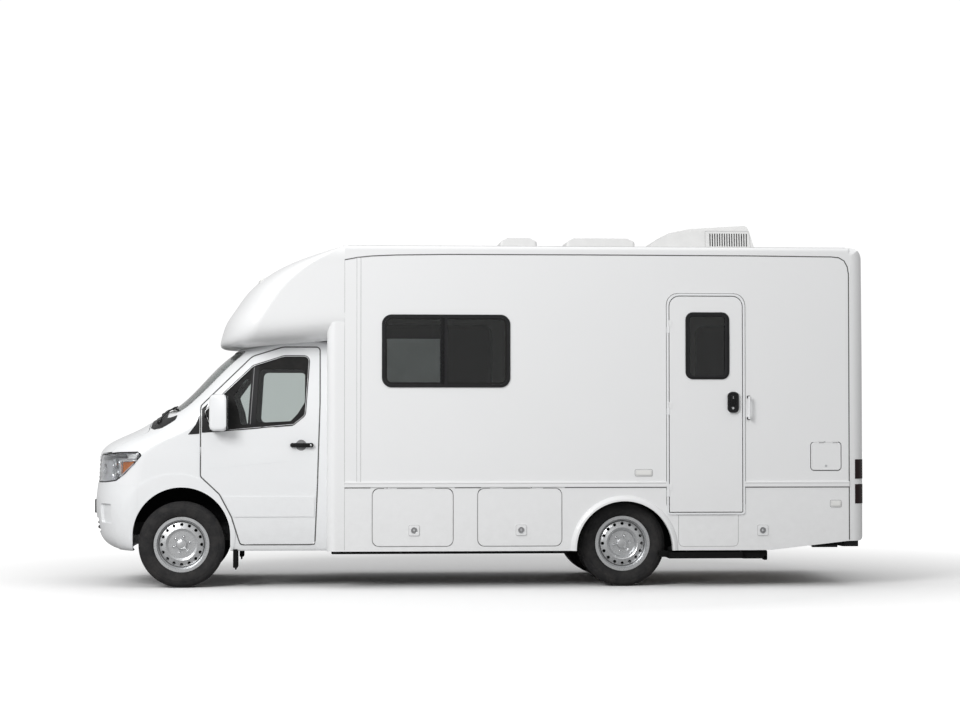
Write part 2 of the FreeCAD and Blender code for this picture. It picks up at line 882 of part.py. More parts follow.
window_spans = [(x_nose + window_front_setback, window_length)]
entry_front = x_nose + entry_setback
entry_rear = entry_front + entry_width
entry_top = entry_bottom + entry_height
entry_corners = [
    (entry_front, entry_bottom, knuckle_radius),
    (entry_rear, entry_bottom, knuckle_radius),
    (entry_rear, entry_top, entry_radius),
    (entry_front, entry_top, entry_radius),
]
entry_ring = shut_gap + entry_frame_width
hatch_spans = [
    (x_nose + front_hatch_setback, front_hatch_length),
    (x_nose + rear_hatch_setback, rear_hatch_length),
]
utility_low = x_nose + utility_setback


def window_outline(x_low, length):
    """The opening of one side window."""
    return rectangle(x_low, x_low + length, window_bottom, window_bottom + window_height, window_radius)


def hatch_outline(x_low, length):
    """The outline of one baggage door."""
    return rectangle(x_low, x_low + length, hatch_bottom, hatch_bottom + hatch_height, hatch_radius)


def hinged_flap(flap, wall, x_low, length, top, sign, outer):
    """Adds two top hinges in the shut gap over a flap: gives the flap and the wall back."""
    for share in (0.22, 0.70):
        centre = Vector(x_low + length * share, sign * outer, top + shut_gap / 2)
        moving, fixed = hinge_pair(centre, X_AXIS, Z_AXIS * -1)
        flap = flap.fuse(moving)
        wall = wall.fuse(fixed)
    return flap, wall


def build_walls():
    """Side walls and skirts with their windows, baggage doors, lockers and arch flares."""
    axis_y = y_side - axis_sink
    kick = prism(
        [(x_tail - skirt_kick_length, 0, 0), (x_tail + overrun, 0, 0), (x_tail + overrun, tail_bottom, 0),
         (x_rear_seam, tail_bottom, 0), (x_tail - skirt_kick_length, skirt_bottom, 0)],
        "xz", -y_side - overrun, y_side + overrun,
    )
    arch = cylinder(Vector(x_rear_axle, 0, axle_z - rear_arch_drop), Y_AXIS, rear_arch_radius * 2,
                    coach_width + overrun * 2)
    arch = arch.fuse(box((x_rear_axle - rear_arch_radius, x_rear_axle + rear_arch_radius),
                         (-y_side - overrun, y_side + overrun), (0, axle_z - rear_arch_drop)))
    flare_profile = [
        (rear_arch_radius, -coach_wall), (rear_arch_radius, rear_flare_proud),
        (rear_arch_radius + rear_flare_width / 3, rear_flare_proud),
        (rear_arch_radius + rear_flare_width * 0.8, rear_flare_proud / 2),
        (rear_arch_radius + rear_flare_width, 0), (rear_arch_radius + rear_flare_width, -coach_wall),
    ]
    for sign, side in ((-1, "left"), (1, "right")):
        y_wall = (sign * y_inner, sign * y_side)
        skirt = box((x_seam, x_rear_seam), y_wall, (skirt_bottom, belt_top))
        belt = prism(
            [(sign * y_side, belt_bottom, 0), (sign * (y_side + belt_depth), belt_bottom, belt_depth / 2),
             (sign * (y_side + belt_depth), belt_top, belt_depth / 2), (sign * y_side, belt_top, 0)],
            "yz", x_seam, x_rear_seam,
        )
        skirt = without(skirt.fuse(belt).removeSplitter(), arch, kick)
        wall = box((x_seam, x_rear_seam), y_wall, (belt_top, roof_seam))
        y_cut = (sign * (y_inner - overrun), sign * (y_side + overrun))
        low_y, high_y = min(y_cut), max(y_cut)
        hatches = []
        for x_low, length in hatch_spans:
            corners = hatch_outline(x_low, length)
            skirt = skirt.cut(grown(corners, "xz", low_y, high_y, shut_gap))
            y_leaf = sorted((sign * (y_side - hatch_thickness), sign * y_side))
            flap = prism(corners, "xz", *y_leaf)
            flap, skirt = hinged_flap(flap, skirt, x_low, length, hatch_bottom + hatch_height, sign, axis_y)
            latch_x = x_low + length * latch_share
            latch_z = hatch_bottom + latch_lift
            y_latch = sorted((sign * y_side, sign * (y_side + latch_height)))
            flap = flap.fuse(prism(
                rectangle(latch_x - latch_size / 2, latch_x + latch_size / 2,
                          latch_z - latch_size / 2, latch_z + latch_size / 2, latch_size / 8),
                "xz", *y_latch,
            ))
            hatches.append(flap.removeSplitter())
        keep("baggage_door_front_" + side, hatches[0])
        keep("baggage_door_rear_" + side, hatches[1])

        spans = list(window_spans)
        if side == "right":
            spans.append((x_nose + small_window_setback, small_window_length))
        for x_low, length in spans:
            corners = window_outline(x_low, length)
            wall = wall.cut(prism(corners, "xz", low_y, high_y))
            y_ring = sorted((sign * y_inner, sign * (y_side + window_frame_proud)))
            ring = extruded(outline(corners, "xz").makeOffset2D(-seat_gap), "xz", *y_ring)
            ring = ring.cut(grown(corners, "xz", low_y, high_y, -window_frame_width))
            if length == window_length:
                mullion = box(
                    (x_low + length / 2 - window_mullion_width / 2, x_low + length / 2 + window_mullion_width / 2),
                    (sign * (y_inner + coach_wall / 4), sign * (y_side + window_frame_proud)),
                    (window_bottom + window_frame_width, window_bottom + window_height - window_frame_width),
                )
                ring = fused(ring, mullion)
                halves = [
                    (x_low + window_frame_width, x_low + length / 2 - window_mullion_width / 2),
                    (x_low + length / 2 + window_mullion_width / 2, x_low + length - window_frame_width),
                ]
            else:
                halves = [(x_low + window_frame_width, x_low + length - window_frame_width)]
            keep("window_frames", ring)
            inside = grown(corners, "xz", low_y, high_y, -window_frame_width - seat_gap)
            for x_a, x_b in halves:
                pane = box((x_a + seat_gap, x_b - seat_gap),
                           (sign * (y_side - door_glass_thickness), sign * y_side),
                           (window_bottom, window_bottom + window_height))
                keep("window_panes", pane.common(inside))

        if side == "left":
            opening = grown(entry_corners, "xz", low_y, high_y, entry_ring + seat_gap)
            skirt, wall = skirt.cut(opening), wall.cut(opening)
            utility = rectangle(utility_low, utility_low + utility_width, utility_bottom,
                                utility_bottom + utility_height, utility_radius)
            wall = wall.cut(grown(utility, "xz", low_y, high_y, shut_gap))
            flap = prism(utility, "xz", -y_side, -y_side + hatch_thickness)
            flap, wall = hinged_flap(flap, wall, utility_low, utility_width,
                                     utility_bottom + utility_height, sign, axis_y)
            keep("utility_door", flap)
        profile = [(r, sign * y) for r, y in flare_profile]
        flare = revolved(profile, Vector(x_rear_axle, sign * y_side, axle_z - rear_arch_drop))
        flare = flare.common(box((x_nose, x_tail), (-coach_width, coach_width), (skirt_bottom, coach_height)))
        keep("side_skirt_" + side, skirt.fuse(flare))
        keep("side_wall_" + side, wall)


def locker(x_low, length, sign, bottom, height, depth, floor_wall):
    """An open box behind a flap in a side wall."""
    gap = shut_gap
    y_back = sign * (y_inner - seat_gap - depth)
    y_face = sign * (y_inner - seat_gap)
    outer = box((x_low - gap - floor_wall, x_low + length + gap + floor_wall), (y_back, y_face),
                (bottom - gap - floor_wall, bottom + height + gap + floor_wall))
    inner = box((x_low - gap, x_low + length + gap), (y_back + sign * floor_wall, sign * y_side),
                (bottom - gap, bottom + height + gap))
    return outer.cut(inner)


def build_entry():
    """The habitation door with its frame, window, latch, grab handle and step."""
    outer_y = y_side + entry_frame_proud
    ring = grown(entry_corners, "xz", -outer_y, -y_inner, entry_ring)
    ring = ring.cut(grown(entry_corners, "xz", -outer_y - overrun, -y_inner + overrun, shut_gap))
    leaf = prism(entry_corners, "xz", -outer_y, -y_inner)
    x_pane = entry_front + (entry_width - entry_window_width) * 0.55
    z_pane = entry_bottom + entry_window_lift
    pane_hole = rectangle(x_pane, x_pane + entry_window_width, z_pane, z_pane + entry_window_height,
                          entry_window_radius)
    leaf = leaf.cut(prism(pane_hole, "xz", -outer_y - overrun, -y_inner + overrun))
    pane = grown(pane_hole, "xz", -y_side, -y_side + door_glass_thickness, -seat_gap)
    latch_x = entry_rear - entry_latch_margin - entry_latch_width
    latch_z = entry_bottom + entry_latch_lift
    latch = prism(
        rectangle(latch_x, latch_x + entry_latch_width, latch_z, latch_z + entry_latch_height,
                  entry_latch_width / 6),
        "xz", -outer_y - entry_latch_depth, -outer_y,
    )
    leaf = leaf.fuse(latch)
    axis = Vector(entry_front - shut_gap / 2, -outer_y - leaf_thickness / 2, 0)
    for share in (0.10, 0.48, 0.86):
        centre = Vector(axis.x, axis.y, entry_bottom + entry_height * share)
        moving, fixed = hinge_pair(centre, Z_AXIS, X_AXIS)
        leaf = leaf.fuse(moving)
        ring = ring.fuse(fixed)
    grab_x = entry_rear + entry_ring + (grab_gap - entry_ring)
    bottom = entry_bottom + grab_lift
    grab = cylinder(Vector(grab_x, -y_side - grab_stand_off, bottom + grab_length / 2), Z_AXIS,
                    grab_diameter, grab_length)
    for z in (bottom + grab_diameter, bottom + grab_length - grab_diameter):
        grab = grab.fuse(cylinder(Vector(grab_x, -y_side - grab_stand_off / 2, z), Y_AXIS,
                                  grab_diameter, grab_stand_off))
    keep("entry_frame", ring, grab.removeSplitter())
    keep("entry_door", leaf)
    keep("entry_door_glass", pane)
    front = entry_front + (entry_width - step_width) / 2
    step = box((front, front + step_width), (-y_side, -y_side + step_depth),
               (step_bottom, step_bottom + step_height))
    step = step.cut(box((front + step_plate, front + step_width - step_plate),
                        (-y_side + step_plate, -y_side + step_depth + overrun),
                        (step_bottom - overrun, step_bottom + step_height - step_plate)))
    for x in (front + step_width / 12, front + step_width * 5 / 6 - arm_thickness):
        step = step.fuse(box((x, x + arm_thickness), (-y_side + step_depth - arm_thickness, -y_side + step_depth),
                             (step_bottom + step_height - step_plate,
                              coach_floor_top - coach_floor_thickness - seat_gap)))
    keep("entry_step", step.removeSplitter())


def build_coach():
    """Roof, rear cap, floor, wheel wells and lockers."""
    shell = coach_section(0, roof_seam, x_seam, x_rear_seam)
    roof = shell.cut(coach_section(coach_wall, roof_seam - overrun, x_seam - overrun, x_rear_seam + overrun))
    for setback, length in ((small_vent_setback, small_vent_length), (fan_vent_setback, fan_vent_length)):
        x_low = x_nose + setback + vent_base_wall
        roof = roof.cut(box((x_low, x_low + length - 2 * vent_base_wall),
                            (vent_base_wall - vent_width / 2, vent_width / 2 - vent_base_wall),
                            (roof_seam, coach_height + overrun)))
    keep("roof_panel", roof)

    tail = tail_form(0).cut(tail_form(coach_wall))
    glass = rectangle(-rear_window_width / 2, rear_window_width / 2, rear_window_bottom,
                      rear_window_bottom + rear_window_height, window_radius)
    tail = tail.cut(prism(glass, "yz", x_rear_seam, x_tail + overrun))
    x_glass = x_tail - rear_lean - coach_wall / 2
    ring = extruded(outline(glass, "yz").makeOffset2D(-seat_gap), "yz", x_tail - rear_lean - coach_wall,
                    x_tail + window_frame_proud)
    ring = ring.cut(grown(glass, "yz", x_rear_seam, x_tail + overrun, -window_frame_width))
    keep("window_frames", ring)
    keep("window_panes", grown(glass, "yz", x_glass - door_glass_thickness, x_glass,
                               -window_frame_width - seat_gap))
    for level in (0, 1):
        z = lamp_bottom + level * (lamp_height + lamp_gap)
        for sign in (-1, 1):
            zone = box((x_tail - lamp_reach, x_tail + overrun),
                       (sign * (y_side - lamp_wrap), sign * (y_side + overrun)), (z, z + lamp_height))
            room = box((x_tail - lamp_reach - seat_gap, x_tail + overrun),
                       (sign * (y_side - lamp_wrap - seat_gap), sign * (y_side + overrun)),
                       (z - seat_gap, z + lamp_height + seat_gap))
            tail = tail.cut(room.cut(tail_form(lamp_depth + seat_gap)))
            keep("tail_lamps", zone.common(tail_form(-lamp_proud)).cut(tail_form(lamp_depth)))
    keep("rear_cap", tail)

    floor_z = (coach_floor_top - coach_floor_thickness, coach_floor_top)
    floor = box((x_seam + seat_gap, x_rear_seam - seat_gap), (-y_inner + seat_gap, y_inner - seat_gap), floor_z)
    throat = y_side - column_depth - seat_gap
    floor = fused(floor, box((x_seam - column_depth + coach_wall + seat_gap, x_rear_axle), (-throat, throat), floor_z))
    gap = shut_gap + locker_wall + seat_gap
    lockers = {"left": [], "right": []}
    for sign, side in ((-1, "left"), (1, "right")):
        for x_low, length in hatch_spans:
            lockers[side].append(locker(x_low, length, sign, hatch_bottom, hatch_height, locker_depth,
                                        locker_wall))
            floor = floor.cut(box((x_low - gap, x_low + length + gap),
                                  (sign * (y_inner - locker_depth - 2 * seat_gap), sign * y_side),
                                  (0, coach_height)))
        keep("lockers_" + side, *lockers[side])
        floor = floor.cut(box((x_rear_axle - well_radius - well_thickness - seat_gap,
                               x_rear_axle + well_radius + well_thickness + seat_gap),
                              (sign * (well_inner_y - well_thickness - seat_gap), sign * y_side),
                              (0, coach_height)))
        profile = [
            (0, sign * (well_inner_y - well_thickness)),
            (well_radius + well_thickness, sign * (well_inner_y - well_thickness)),
            (well_radius + well_thickness, sign * (y_inner - seat_gap)), (well_radius, sign * (y_inner - seat_gap)),
            (well_radius, sign * well_inner_y), (0, sign * well_inner_y),
        ]
        well = revolved(profile, Vector(x_rear_axle, 0, axle_z))
        well = well.common(box((x_nose, x_tail), (-coach_width, coach_width),
                               (rail_bottom + rail_height, coach_height)))
        keep("wheel_housings", well)
    entry_pit = box((entry_front, entry_rear), (-y_side, -y_inner + seat_gap), (0, entry_bottom))
    keep("coach_floor", floor.cut(entry_pit))
    keep("lockers_left", locker(utility_low, utility_width, -1, utility_bottom, utility_height,
                                  utility_depth, step_plate))
    keep("front_cap", build_front_cap())


def vent(setback, length, height, name):
    """A roof vent: a square base with a hinged lid, the hinge across its rear edge."""
    x_low = x_nose + setback
    half = vent_width / 2
    top = coach_height + vent_base_height
    base = prism(rectangle(x_low, x_low + length, -half, half, vent_base_wall), "xy", coach_height, top)
    base = base.cut(box((x_low + vent_base_wall, x_low + length - vent_base_wall),
                        (vent_base_wall - half, half - vent_base_wall), (0, top + overrun)))
    lid_low, lid_high = x_low - vent_lid_overhang, x_low + length + vent_lid_overhang
    lid = prism(rectangle(lid_low, lid_high, -half - vent_lid_overhang, half + vent_lid_overhang,
                          vent_base_wall), "xy", top + shut_gap / 2, coach_height + height)
    rim = (height - vent_base_height) / 3
    crown = prism(
        [(lid_low, top, 0), (lid_high, top, 0), (lid_high, coach_height + height - rim, rim),
         (lid_high - rim * 2, coach_height + height, rim), (lid_low + rim * 2, coach_height + height, rim),
         (lid_low, coach_height + height - rim, rim)],
        "xz", -half - overrun, half + overrun,
    )
    lid = lid.common(crown)
    hollow = box((x_low, x_low + length), (-half, half),
                 (top, coach_height + height - rim - locker_wall))
    lid = lid.cut(hollow)
    centre_z = top + shut_gap / 4
    for y in (-half / 2, half / 2):
        centre = Vector(lid_high + knuckle_radius + axis_sink, y, centre_z + knuckle_radius)
        lid = lid.fuse(box((lid_high - vent_lid_overhang / 2, centre.x), (y, y + knuckle_length),
                           (centre.z + axis_sink / 2, centre.z + knuckle_radius + axis_sink)))
        lid = lid.fuse(cylinder(centre + Y_AXIS * (knuckle_length / 2), Y_AXIS, knuckle_radius * 2,
                                knuckle_length))
        fixed = cylinder(centre - Y_AXIS * (knuckle_length / 2 + knuckle_gap), Y_AXIS, knuckle_radius * 2,
                         knuckle_length)
        strut = box((centre.x - knuckle_radius, centre.x + knuckle_radius),
                    (y - knuckle_gap - knuckle_length, y - knuckle_gap), (coach_height, centre.z))
        foot = box((x_low + length - axis_sink, centre.x + knuckle_radius),
                   (y - knuckle_gap - knuckle_length, y - knuckle_gap),
                   (coach_height, coach_height + vent_base_height / 2))
        base = base.fuse(fixed).fuse(strut).fuse(foot)
    SOLIDS["roof_panel"][0] = SOLIDS["roof_panel"][0].fuse(base).removeSplitter().Solids[0]
    keep(name, lid.removeSplitter())


aircon_shares = [
    (0.000, 0.000, 0.0), (0.000, 0.160, 0.2), (0.060, 0.360, 0.5), (0.190, 0.690, 1.0),
    (0.400, 0.860, 1.0), (0.930, 1.000, 0.4), (1.000, 0.120, 0.2), (1.000, 0.000, 0.0),
]


def build_roof():
    """Roof vents and the air conditioner."""
    vent(small_vent_setback, small_vent_length, small_vent_height, "small_vent_lid")
    vent(fan_vent_setback, fan_vent_length, fan_vent_height, "fan_vent_lid")
    x_low = x_nose + aircon_setback
    half = aircon_width / 2
    corners = share_corners(aircon_shares, x_low, aircon_length, coach_height, aircon_height, roof_edge_radius)
    unit = prism(corners, "xz", -half, half)
    front_view = [
        (-half, coach_height, 0), (half, coach_height, 0),
        (half - vent_base_wall, coach_height + aircon_height, roof_edge_radius),
        (vent_base_wall - half, coach_height + aircon_height, roof_edge_radius),
    ]
    unit = unit.common(prism(front_view, "yz", x_low - overrun, x_low + aircon_length + overrun))
    span = aircon_length * 0.36
    pitch = span / aircon_louvre_count
    for i in range(aircon_louvre_count):
        x = x_low + aircon_length - span - aircon_length * 0.06 + i * pitch
        for sign in (-1, 1):
            slot = box((x, x + pitch / 2),
                       (sign * (half - vent_base_wall - aircon_louvre_depth), sign * (half + overrun)),
                       (coach_height + aircon_height * 0.24, coach_height + aircon_height * 0.70))
            unit = unit.cut(slot)
    keep("roof_aircon", unit)


def tyre(centre, sign):
    """A tyre as a revolved section with a crowned tread and rounded shoulders."""
    outer, bead = tyre_diameter / 2, rim_seat_diameter / 2 + seat_gap
    half, foot = tyre_width / 2, tyre_bead_width / 2 - rim_flange_width - seat_gap
    profile = [
        (outer, half - tyre_shoulder), (outer - tyre_shoulder, half),
        (rim_flange_diameter / 2 + seat_gap, foot + rim_flange_width),
        (rim_flange_diameter / 2 + seat_gap, foot), (bead, foot),
    ]
    mirror_side = [(r, -y) for r, y in reversed(profile)]
    return revolved([(r, sign * y) for r, y in profile + mirror_side], centre)


def wheel(centre, sign, recess, hub_low, hub_high, bore):
    """A steel wheel with its hub: one revolved section with a ring of ventilation holes."""
    edge = tyre_bead_width / 2
    seat, well = rim_seat_diameter / 2, rim_well_diameter / 2
    flange, step = rim_flange_diameter / 2, rim_thickness
    crest = disc_crest_diameter / 2
    crest_y = edge - disc_crest_inset
    floor_y = crest_y - recess
    join_y = edge - disc_rim_inset
    recess_r = crest - recess * 0.55
    cap_r = hub_cap_diameter / 2
    barrel = [
        (flange, -edge), (flange, rim_flange_width - edge), (seat, rim_flange_width - edge),
        (seat, -rim_well_width / 2 - step), (well, -rim_well_width / 2), (well, rim_well_width / 2),
        (seat, rim_well_width / 2 + step), (seat, edge - rim_flange_width), (flange, edge - rim_flange_width),
        (flange, edge), (seat - step, edge), (seat - step, join_y),
        ((well + crest) / 2 + step, crest_y - step), (crest, crest_y), (crest - step, crest_y - step / 2),
        (recess_r, floor_y), (cap_r, floor_y), (cap_r, floor_y + hub_cap_height * 0.6),
        (cap_r * 0.7, floor_y + hub_cap_height), (0, floor_y + hub_cap_height), (0, hub_high),
        (bore, hub_high), (bore, hub_low), (hub_diameter / 2, hub_low),
        (hub_diameter / 2, floor_y - disc_thickness), (recess_r - step, floor_y - disc_thickness),
        (crest - step * 2, crest_y - disc_thickness - step / 2), (crest, crest_y - disc_thickness),
        ((well + crest) / 2, crest_y - step - disc_thickness), (well - step, join_y - disc_thickness),
        (well - step, -rim_well_width / 2 - step), (seat - step, -rim_well_width / 2 - 2 * step),
        (seat - step, -edge),
    ]
    body = revolved([(r, sign * y) for r, y in barrel], centre)
    for i in range(vent_hole_count):
        angle = 2 * math.pi * i / vent_hole_count
        spot = centre + Vector(math.cos(angle), 0, math.sin(angle)) * (vent_circle_diameter / 2)
        spot = spot + Y_AXIS * (sign * join_y)
        body = body.cut(cylinder(spot, Y_AXIS, vent_hole_diameter, tyre_bead_width / 2))
    return body


def build_wheels():
    """Front and twin rear wheels with tyres, steering uprights and the rear axle."""
    spindle_bore = spindle_diameter / 2 + bearing_clearance
    edge = tyre_bead_width / 2
    front_floor = edge - disc_crest_inset - front_recess_depth
    upright_out = kingpin_half_spacing + upright_depth / 2
    for sign, side in ((-1, "left"), (1, "right")):
        middle = Vector(x_front_axle, sign * front_track / 2, axle_z)
        hub_low = upright_out - front_track / 2 + shut_gap
        body = wheel(middle, sign, front_recess_depth, hub_low, front_floor - disc_thickness, spindle_bore)
        keep("front_wheel_" + side, body)
        keep("front_tyre_" + side, tyre(middle, sign))
        post = Vector(x_front_axle, sign * kingpin_half_spacing, axle_z)
        upright = box((post.x - upright_width / 2, post.x + upright_width / 2),
                      (post.y - upright_depth / 2, post.y + upright_depth / 2),
                      (post.z - upright_height / 2, post.z + upright_height / 2))
        reach = front_track / 2 + front_floor - disc_thickness - shut_gap - kingpin_half_spacing
        upright = upright.fuse(cylinder(post + Y_AXIS * (sign * reach / 2), Y_AXIS, spindle_diameter, reach))
        bore = kingpin_diameter + 2 * bearing_clearance
        upright = upright.cut(cylinder(post, Z_AXIS, bore, upright_height + overrun))
        keep("steering_knuckle_" + side, upright.removeSplitter())

        wheel_middle = Vector(x_rear_axle, sign * rear_outer_track / 2, axle_z)
        inner_middle = wheel_middle - Y_AXIS * (sign * twin_spacing)
        rear_floor = edge - disc_crest_inset - rear_recess_depth
        outer_wheel = wheel(wheel_middle, sign, rear_recess_depth,
                            edge - twin_spacing - disc_rim_inset - disc_thickness, rear_floor - disc_thickness, spindle_bore)
        hub_face = edge - disc_rim_inset
        seat, well, step = rim_seat_diameter / 2, rim_well_diameter / 2, rim_thickness
        flange = rim_flange_diameter / 2
        inner = [
            (flange, -edge), (flange, rim_flange_width - edge), (seat, rim_flange_width - edge),
            (seat, -rim_well_width / 2 - step), (well, -rim_well_width / 2), (well, rim_well_width / 2),
            (seat, rim_well_width / 2 + step), (seat, edge - rim_flange_width), (flange, edge - rim_flange_width),
            (flange, edge), (seat - step, edge), (seat - step, hub_face), (hub_diameter / 2, hub_face),
            (hub_diameter / 2, hub_face - disc_thickness), (well - step, hub_face - disc_thickness),
            (well - step, -rim_well_width / 2 - step), (seat - step, -rim_well_width / 2 - 2 * step),
            (seat - step, -edge),
        ]
        inner_wheel = revolved([(r, sign * y) for r, y in inner], inner_middle)
        keep("rear_wheels_" + side, outer_wheel.fuse(inner_wheel).removeSplitter())
        keep("rear_tyres_" + side, tyre(wheel_middle, sign), tyre(inner_middle, sign))

    # Rear axle: tube, differential and the spindles inside the hubs
    hub_start = rear_outer_track / 2 + edge - twin_spacing - disc_rim_inset - disc_thickness - shut_gap
    axle = cylinder(Vector(x_rear_axle, 0, axle_z), Y_AXIS, axle_tube_diameter, hub_start * 2)
    tip = rear_outer_track / 2 + edge - disc_crest_inset - rear_recess_depth - disc_thickness - shut_gap
    axle = axle.fuse(cylinder(Vector(x_rear_axle, 0, axle_z), Y_AXIS, spindle_diameter, tip * 2))
    ball = Part.makeSphere(differential_diameter / 2, Vector(x_rear_axle, 0, axle_z))
    ball = ball.common(box((x_nose, x_tail), (-differential_diameter * 0.36, differential_diameter * 0.36),
                           (0, coach_height)))
    keep("rear_axle", fused(axle, ball))


def channel(x_low, x_high, sign):
    """A chassis rail: a channel open towards the middle."""
    y_out_rail = rail_half_spacing + rail_width / 2
    rail = box((x_low, x_high), (sign * (y_out_rail - rail_width), sign * y_out_rail),
               (rail_bottom, rail_bottom + rail_height))
    pocket = box((x_low - overrun, x_high + overrun),
                 (sign * (y_out_rail - rail_width - overrun), sign * (y_out_rail - step_plate)),
                 (rail_bottom + step_plate, rail_bottom + rail_height - step_plate))
    return rail.cut(pocket)


def build_chassis():
    """Frame, engine, driveline, springs, front suspension, exhaust, tank and hitch."""
    x_low, x_high = x_nose + rail_front_setback, x_tail - rail_rear_setback
    y_web = rail_half_spacing + rail_width / 2
    frame = channel(x_low, x_high, 1).fuse(channel(x_low, x_high, -1))
    cross_z = (rail_bottom + step_plate, rail_bottom + step_plate + cross_height)
    places = [x_low, x_nose + cab_length, x_rear_axle - spring_length / 2 - cross_width * 2,
              x_rear_axle + spring_length / 2 + cross_width, x_high - cross_width]
    for x in places:
        frame = frame.fuse(box((x, x + cross_width), (step_plate - y_web, y_web - step_plate), cross_z))
    gap = shut_gap + locker_wall
    spots = [x_nose + cab_length + cross_width * 2, hatch_spans[0][0] + front_hatch_length + gap + cross_width,
             hatch_spans[1][0] + rear_hatch_length + gap + seat_gap, x_rear_axle + well_radius + cross_width,
             x_rear_seam - cross_width * 2]
    for x in spots:
        for sign in (-1, 1):
            frame = frame.fuse(box((x, x + outrigger_width), (sign * y_web, sign * (y_inner - seat_gap)),
                                   (rail_bottom + rail_height - step_plate - cross_height,
                                    coach_floor_top - coach_floor_thickness - seat_gap)))
    mount_x = x_nose + engine_setback + engine_length / 2
    for sign in (-1, 1):
        frame = frame.fuse(box((mount_x, mount_x + cross_width),
                               (sign * (engine_width / 2 + seat_gap), sign * (y_web - step_plate)), cross_z))
    for x in places[1:]:
        for sign in (-1, 1):
            frame = frame.fuse(box((x, x + cross_width), (sign * (y_web - rail_width), sign * y_web),
                                   (rail_bottom + rail_height - step_plate,
                                    coach_floor_top - coach_floor_thickness - seat_gap)))
    tank_x = x_nose + tank_setback
    tank_y = rail_half_spacing - rail_width / 2 - tank_width
    tank = prism(rectangle(tank_y, tank_y + tank_width + step_plate, rail_bottom + rail_height - tank_height,
                           rail_bottom + rail_height - step_plate, step_plate * 4),
                 "yz", tank_x, tank_x + tank_length)
    for x in (tank_x + tank_length / 4, tank_x + tank_length * 0.75):
        tank = tank.fuse(box((x, x + step_plate * 6), (tank_y, y_web - step_plate),
                             (rail_bottom + step_plate, rail_bottom + step_plate * 3)))
    keep("chassis_frame", frame.fuse(tank).removeSplitter())

    engine_x = x_nose + engine_setback
    keep("engine_block", box((engine_x, engine_x + engine_length), (-engine_width / 2, engine_width / 2),
                             (engine_bottom, engine_bottom + engine_height)))
    gear_x = engine_x + engine_length + seat_gap
    gearbox = box((gear_x, gear_x + gearbox_length), (-gearbox_width / 2, gearbox_width / 2),
                  (axle_z, axle_z + gearbox_width * 0.7))
    shaft_start = gear_x + gearbox_length
    shaft_z = rail_bottom - shaft_diameter * 0.7
    start = Vector(shaft_start - axis_sink, 0, shaft_z)
    end = Vector(x_rear_axle - differential_diameter / 2 - seat_gap, 0, axle_z)
    shaft = Part.makeCylinder(shaft_diameter / 2, (end - start).Length, start, end - start)
    keep("driveline", gearbox.fuse(shaft).removeSplitter())

    springs = []
    for sign in (-1, 1):
        y = sign * spring_half_spacing
        z = axle_z + axle_tube_diameter / 2 + seat_gap
        half = spring_length / 2
        top = z + spring_leaf_height
        profile = [
            (x_rear_axle - half, top + spring_leaf_height * 2),
            (x_rear_axle - half / 2, top + spring_leaf_height * 0.4),
            (x_rear_axle, z), (x_rear_axle + half / 2, top + spring_leaf_height * 0.4),
            (x_rear_axle + half, top + spring_leaf_height * 2),
        ]
        lower = Part.BSplineCurve()
        lower.interpolate([Vector(a, 0, b) for a, b in profile])
        upper = Part.BSplineCurve()
        upper.interpolate([Vector(a, 0, b + spring_leaf_height) for a, b in profile])
        ends = [Part.LineSegment(Vector(profile[k][0], 0, profile[k][1]),
                                 Vector(profile[k][0], 0, profile[k][1] + spring_leaf_height)).toShape()
                for k in (0, -1)]
        wire = Part.Wire(Part.__sortEdges__([lower.toShape(), upper.toShape()] + ends))
        springs.append(extruded(wire, "xz", y - spring_width / 2, y + spring_width / 2))
    hangers = []
    for sign in (-1, 1):
        y = sign * spring_half_spacing
        for x in (x_rear_axle - spring_length / 2 + cross_width / 4,
                  x_rear_axle + spring_length / 2 - cross_width * 1.25):
            low = axle_z + axle_tube_diameter / 2 + spring_leaf_height * 3
            hangers.append(box((x, x + cross_width), (sign * y_web, y + sign * spring_width / 2),
                               (low, rail_bottom + rail_height)))
    solids = [s.fuse(h1).fuse(h2) for s, h1, h2 in zip(springs, hangers[0::2], hangers[1::2])]
    keep("leaf_springs", *[s.removeSplitter() for s in solids])

    for sign in (-1, 1):
        post = Vector(x_front_axle, sign * kingpin_half_spacing, axle_z)
        arms = None
        for level in (-1, 1):
            z_face = post.z + level * (upright_height / 2 + seat_gap)
            z_pair = sorted((z_face, z_face + level * arm_thickness))
            arm = prism(
                [(post.x - arm_width / 2, post.y + sign * arm_width * 0.4, arm_width * 0.3),
                 (post.x + arm_width / 2, post.y + sign * arm_width * 0.4, arm_width * 0.3),
                 (post.x + arm_width / 2, post.y - sign * arm_width * 1.6, 0),
                 (post.x + arm_width * 1.6, sign * y_web, 0), (post.x - arm_width * 1.6, sign * y_web, 0),
                 (post.x - arm_width / 2, post.y - sign * arm_width * 1.6, 0)],
                "xy", *z_pair,
            )
            arms = arm if arms is None else arms.fuse(arm)
        pin = cylinder(post, Z_AXIS, kingpin_diameter, upright_height + 2 * arm_thickness)
        beam = box((post.x - arm_width * 1.6, post.x + arm_width * 1.6), (sign * (y_web - rail_width), sign * y_web),
                   (post.z - upright_height / 2 - seat_gap - arm_thickness, rail_bottom - seat_gap))
        arms = arms.fuse(pin).fuse(beam)
        bridge = box((post.x - arm_width, post.x + arm_width), (0, sign * (y_web - rail_width / 2)),
                     (post.z - upright_height / 2 - seat_gap - arm_thickness, post.z - upright_height / 2))
        keep("half_axle", arms.fuse(bridge))
    halves = SOLIDS.pop("half_axle")
    keep("front_suspension", fused(*halves))

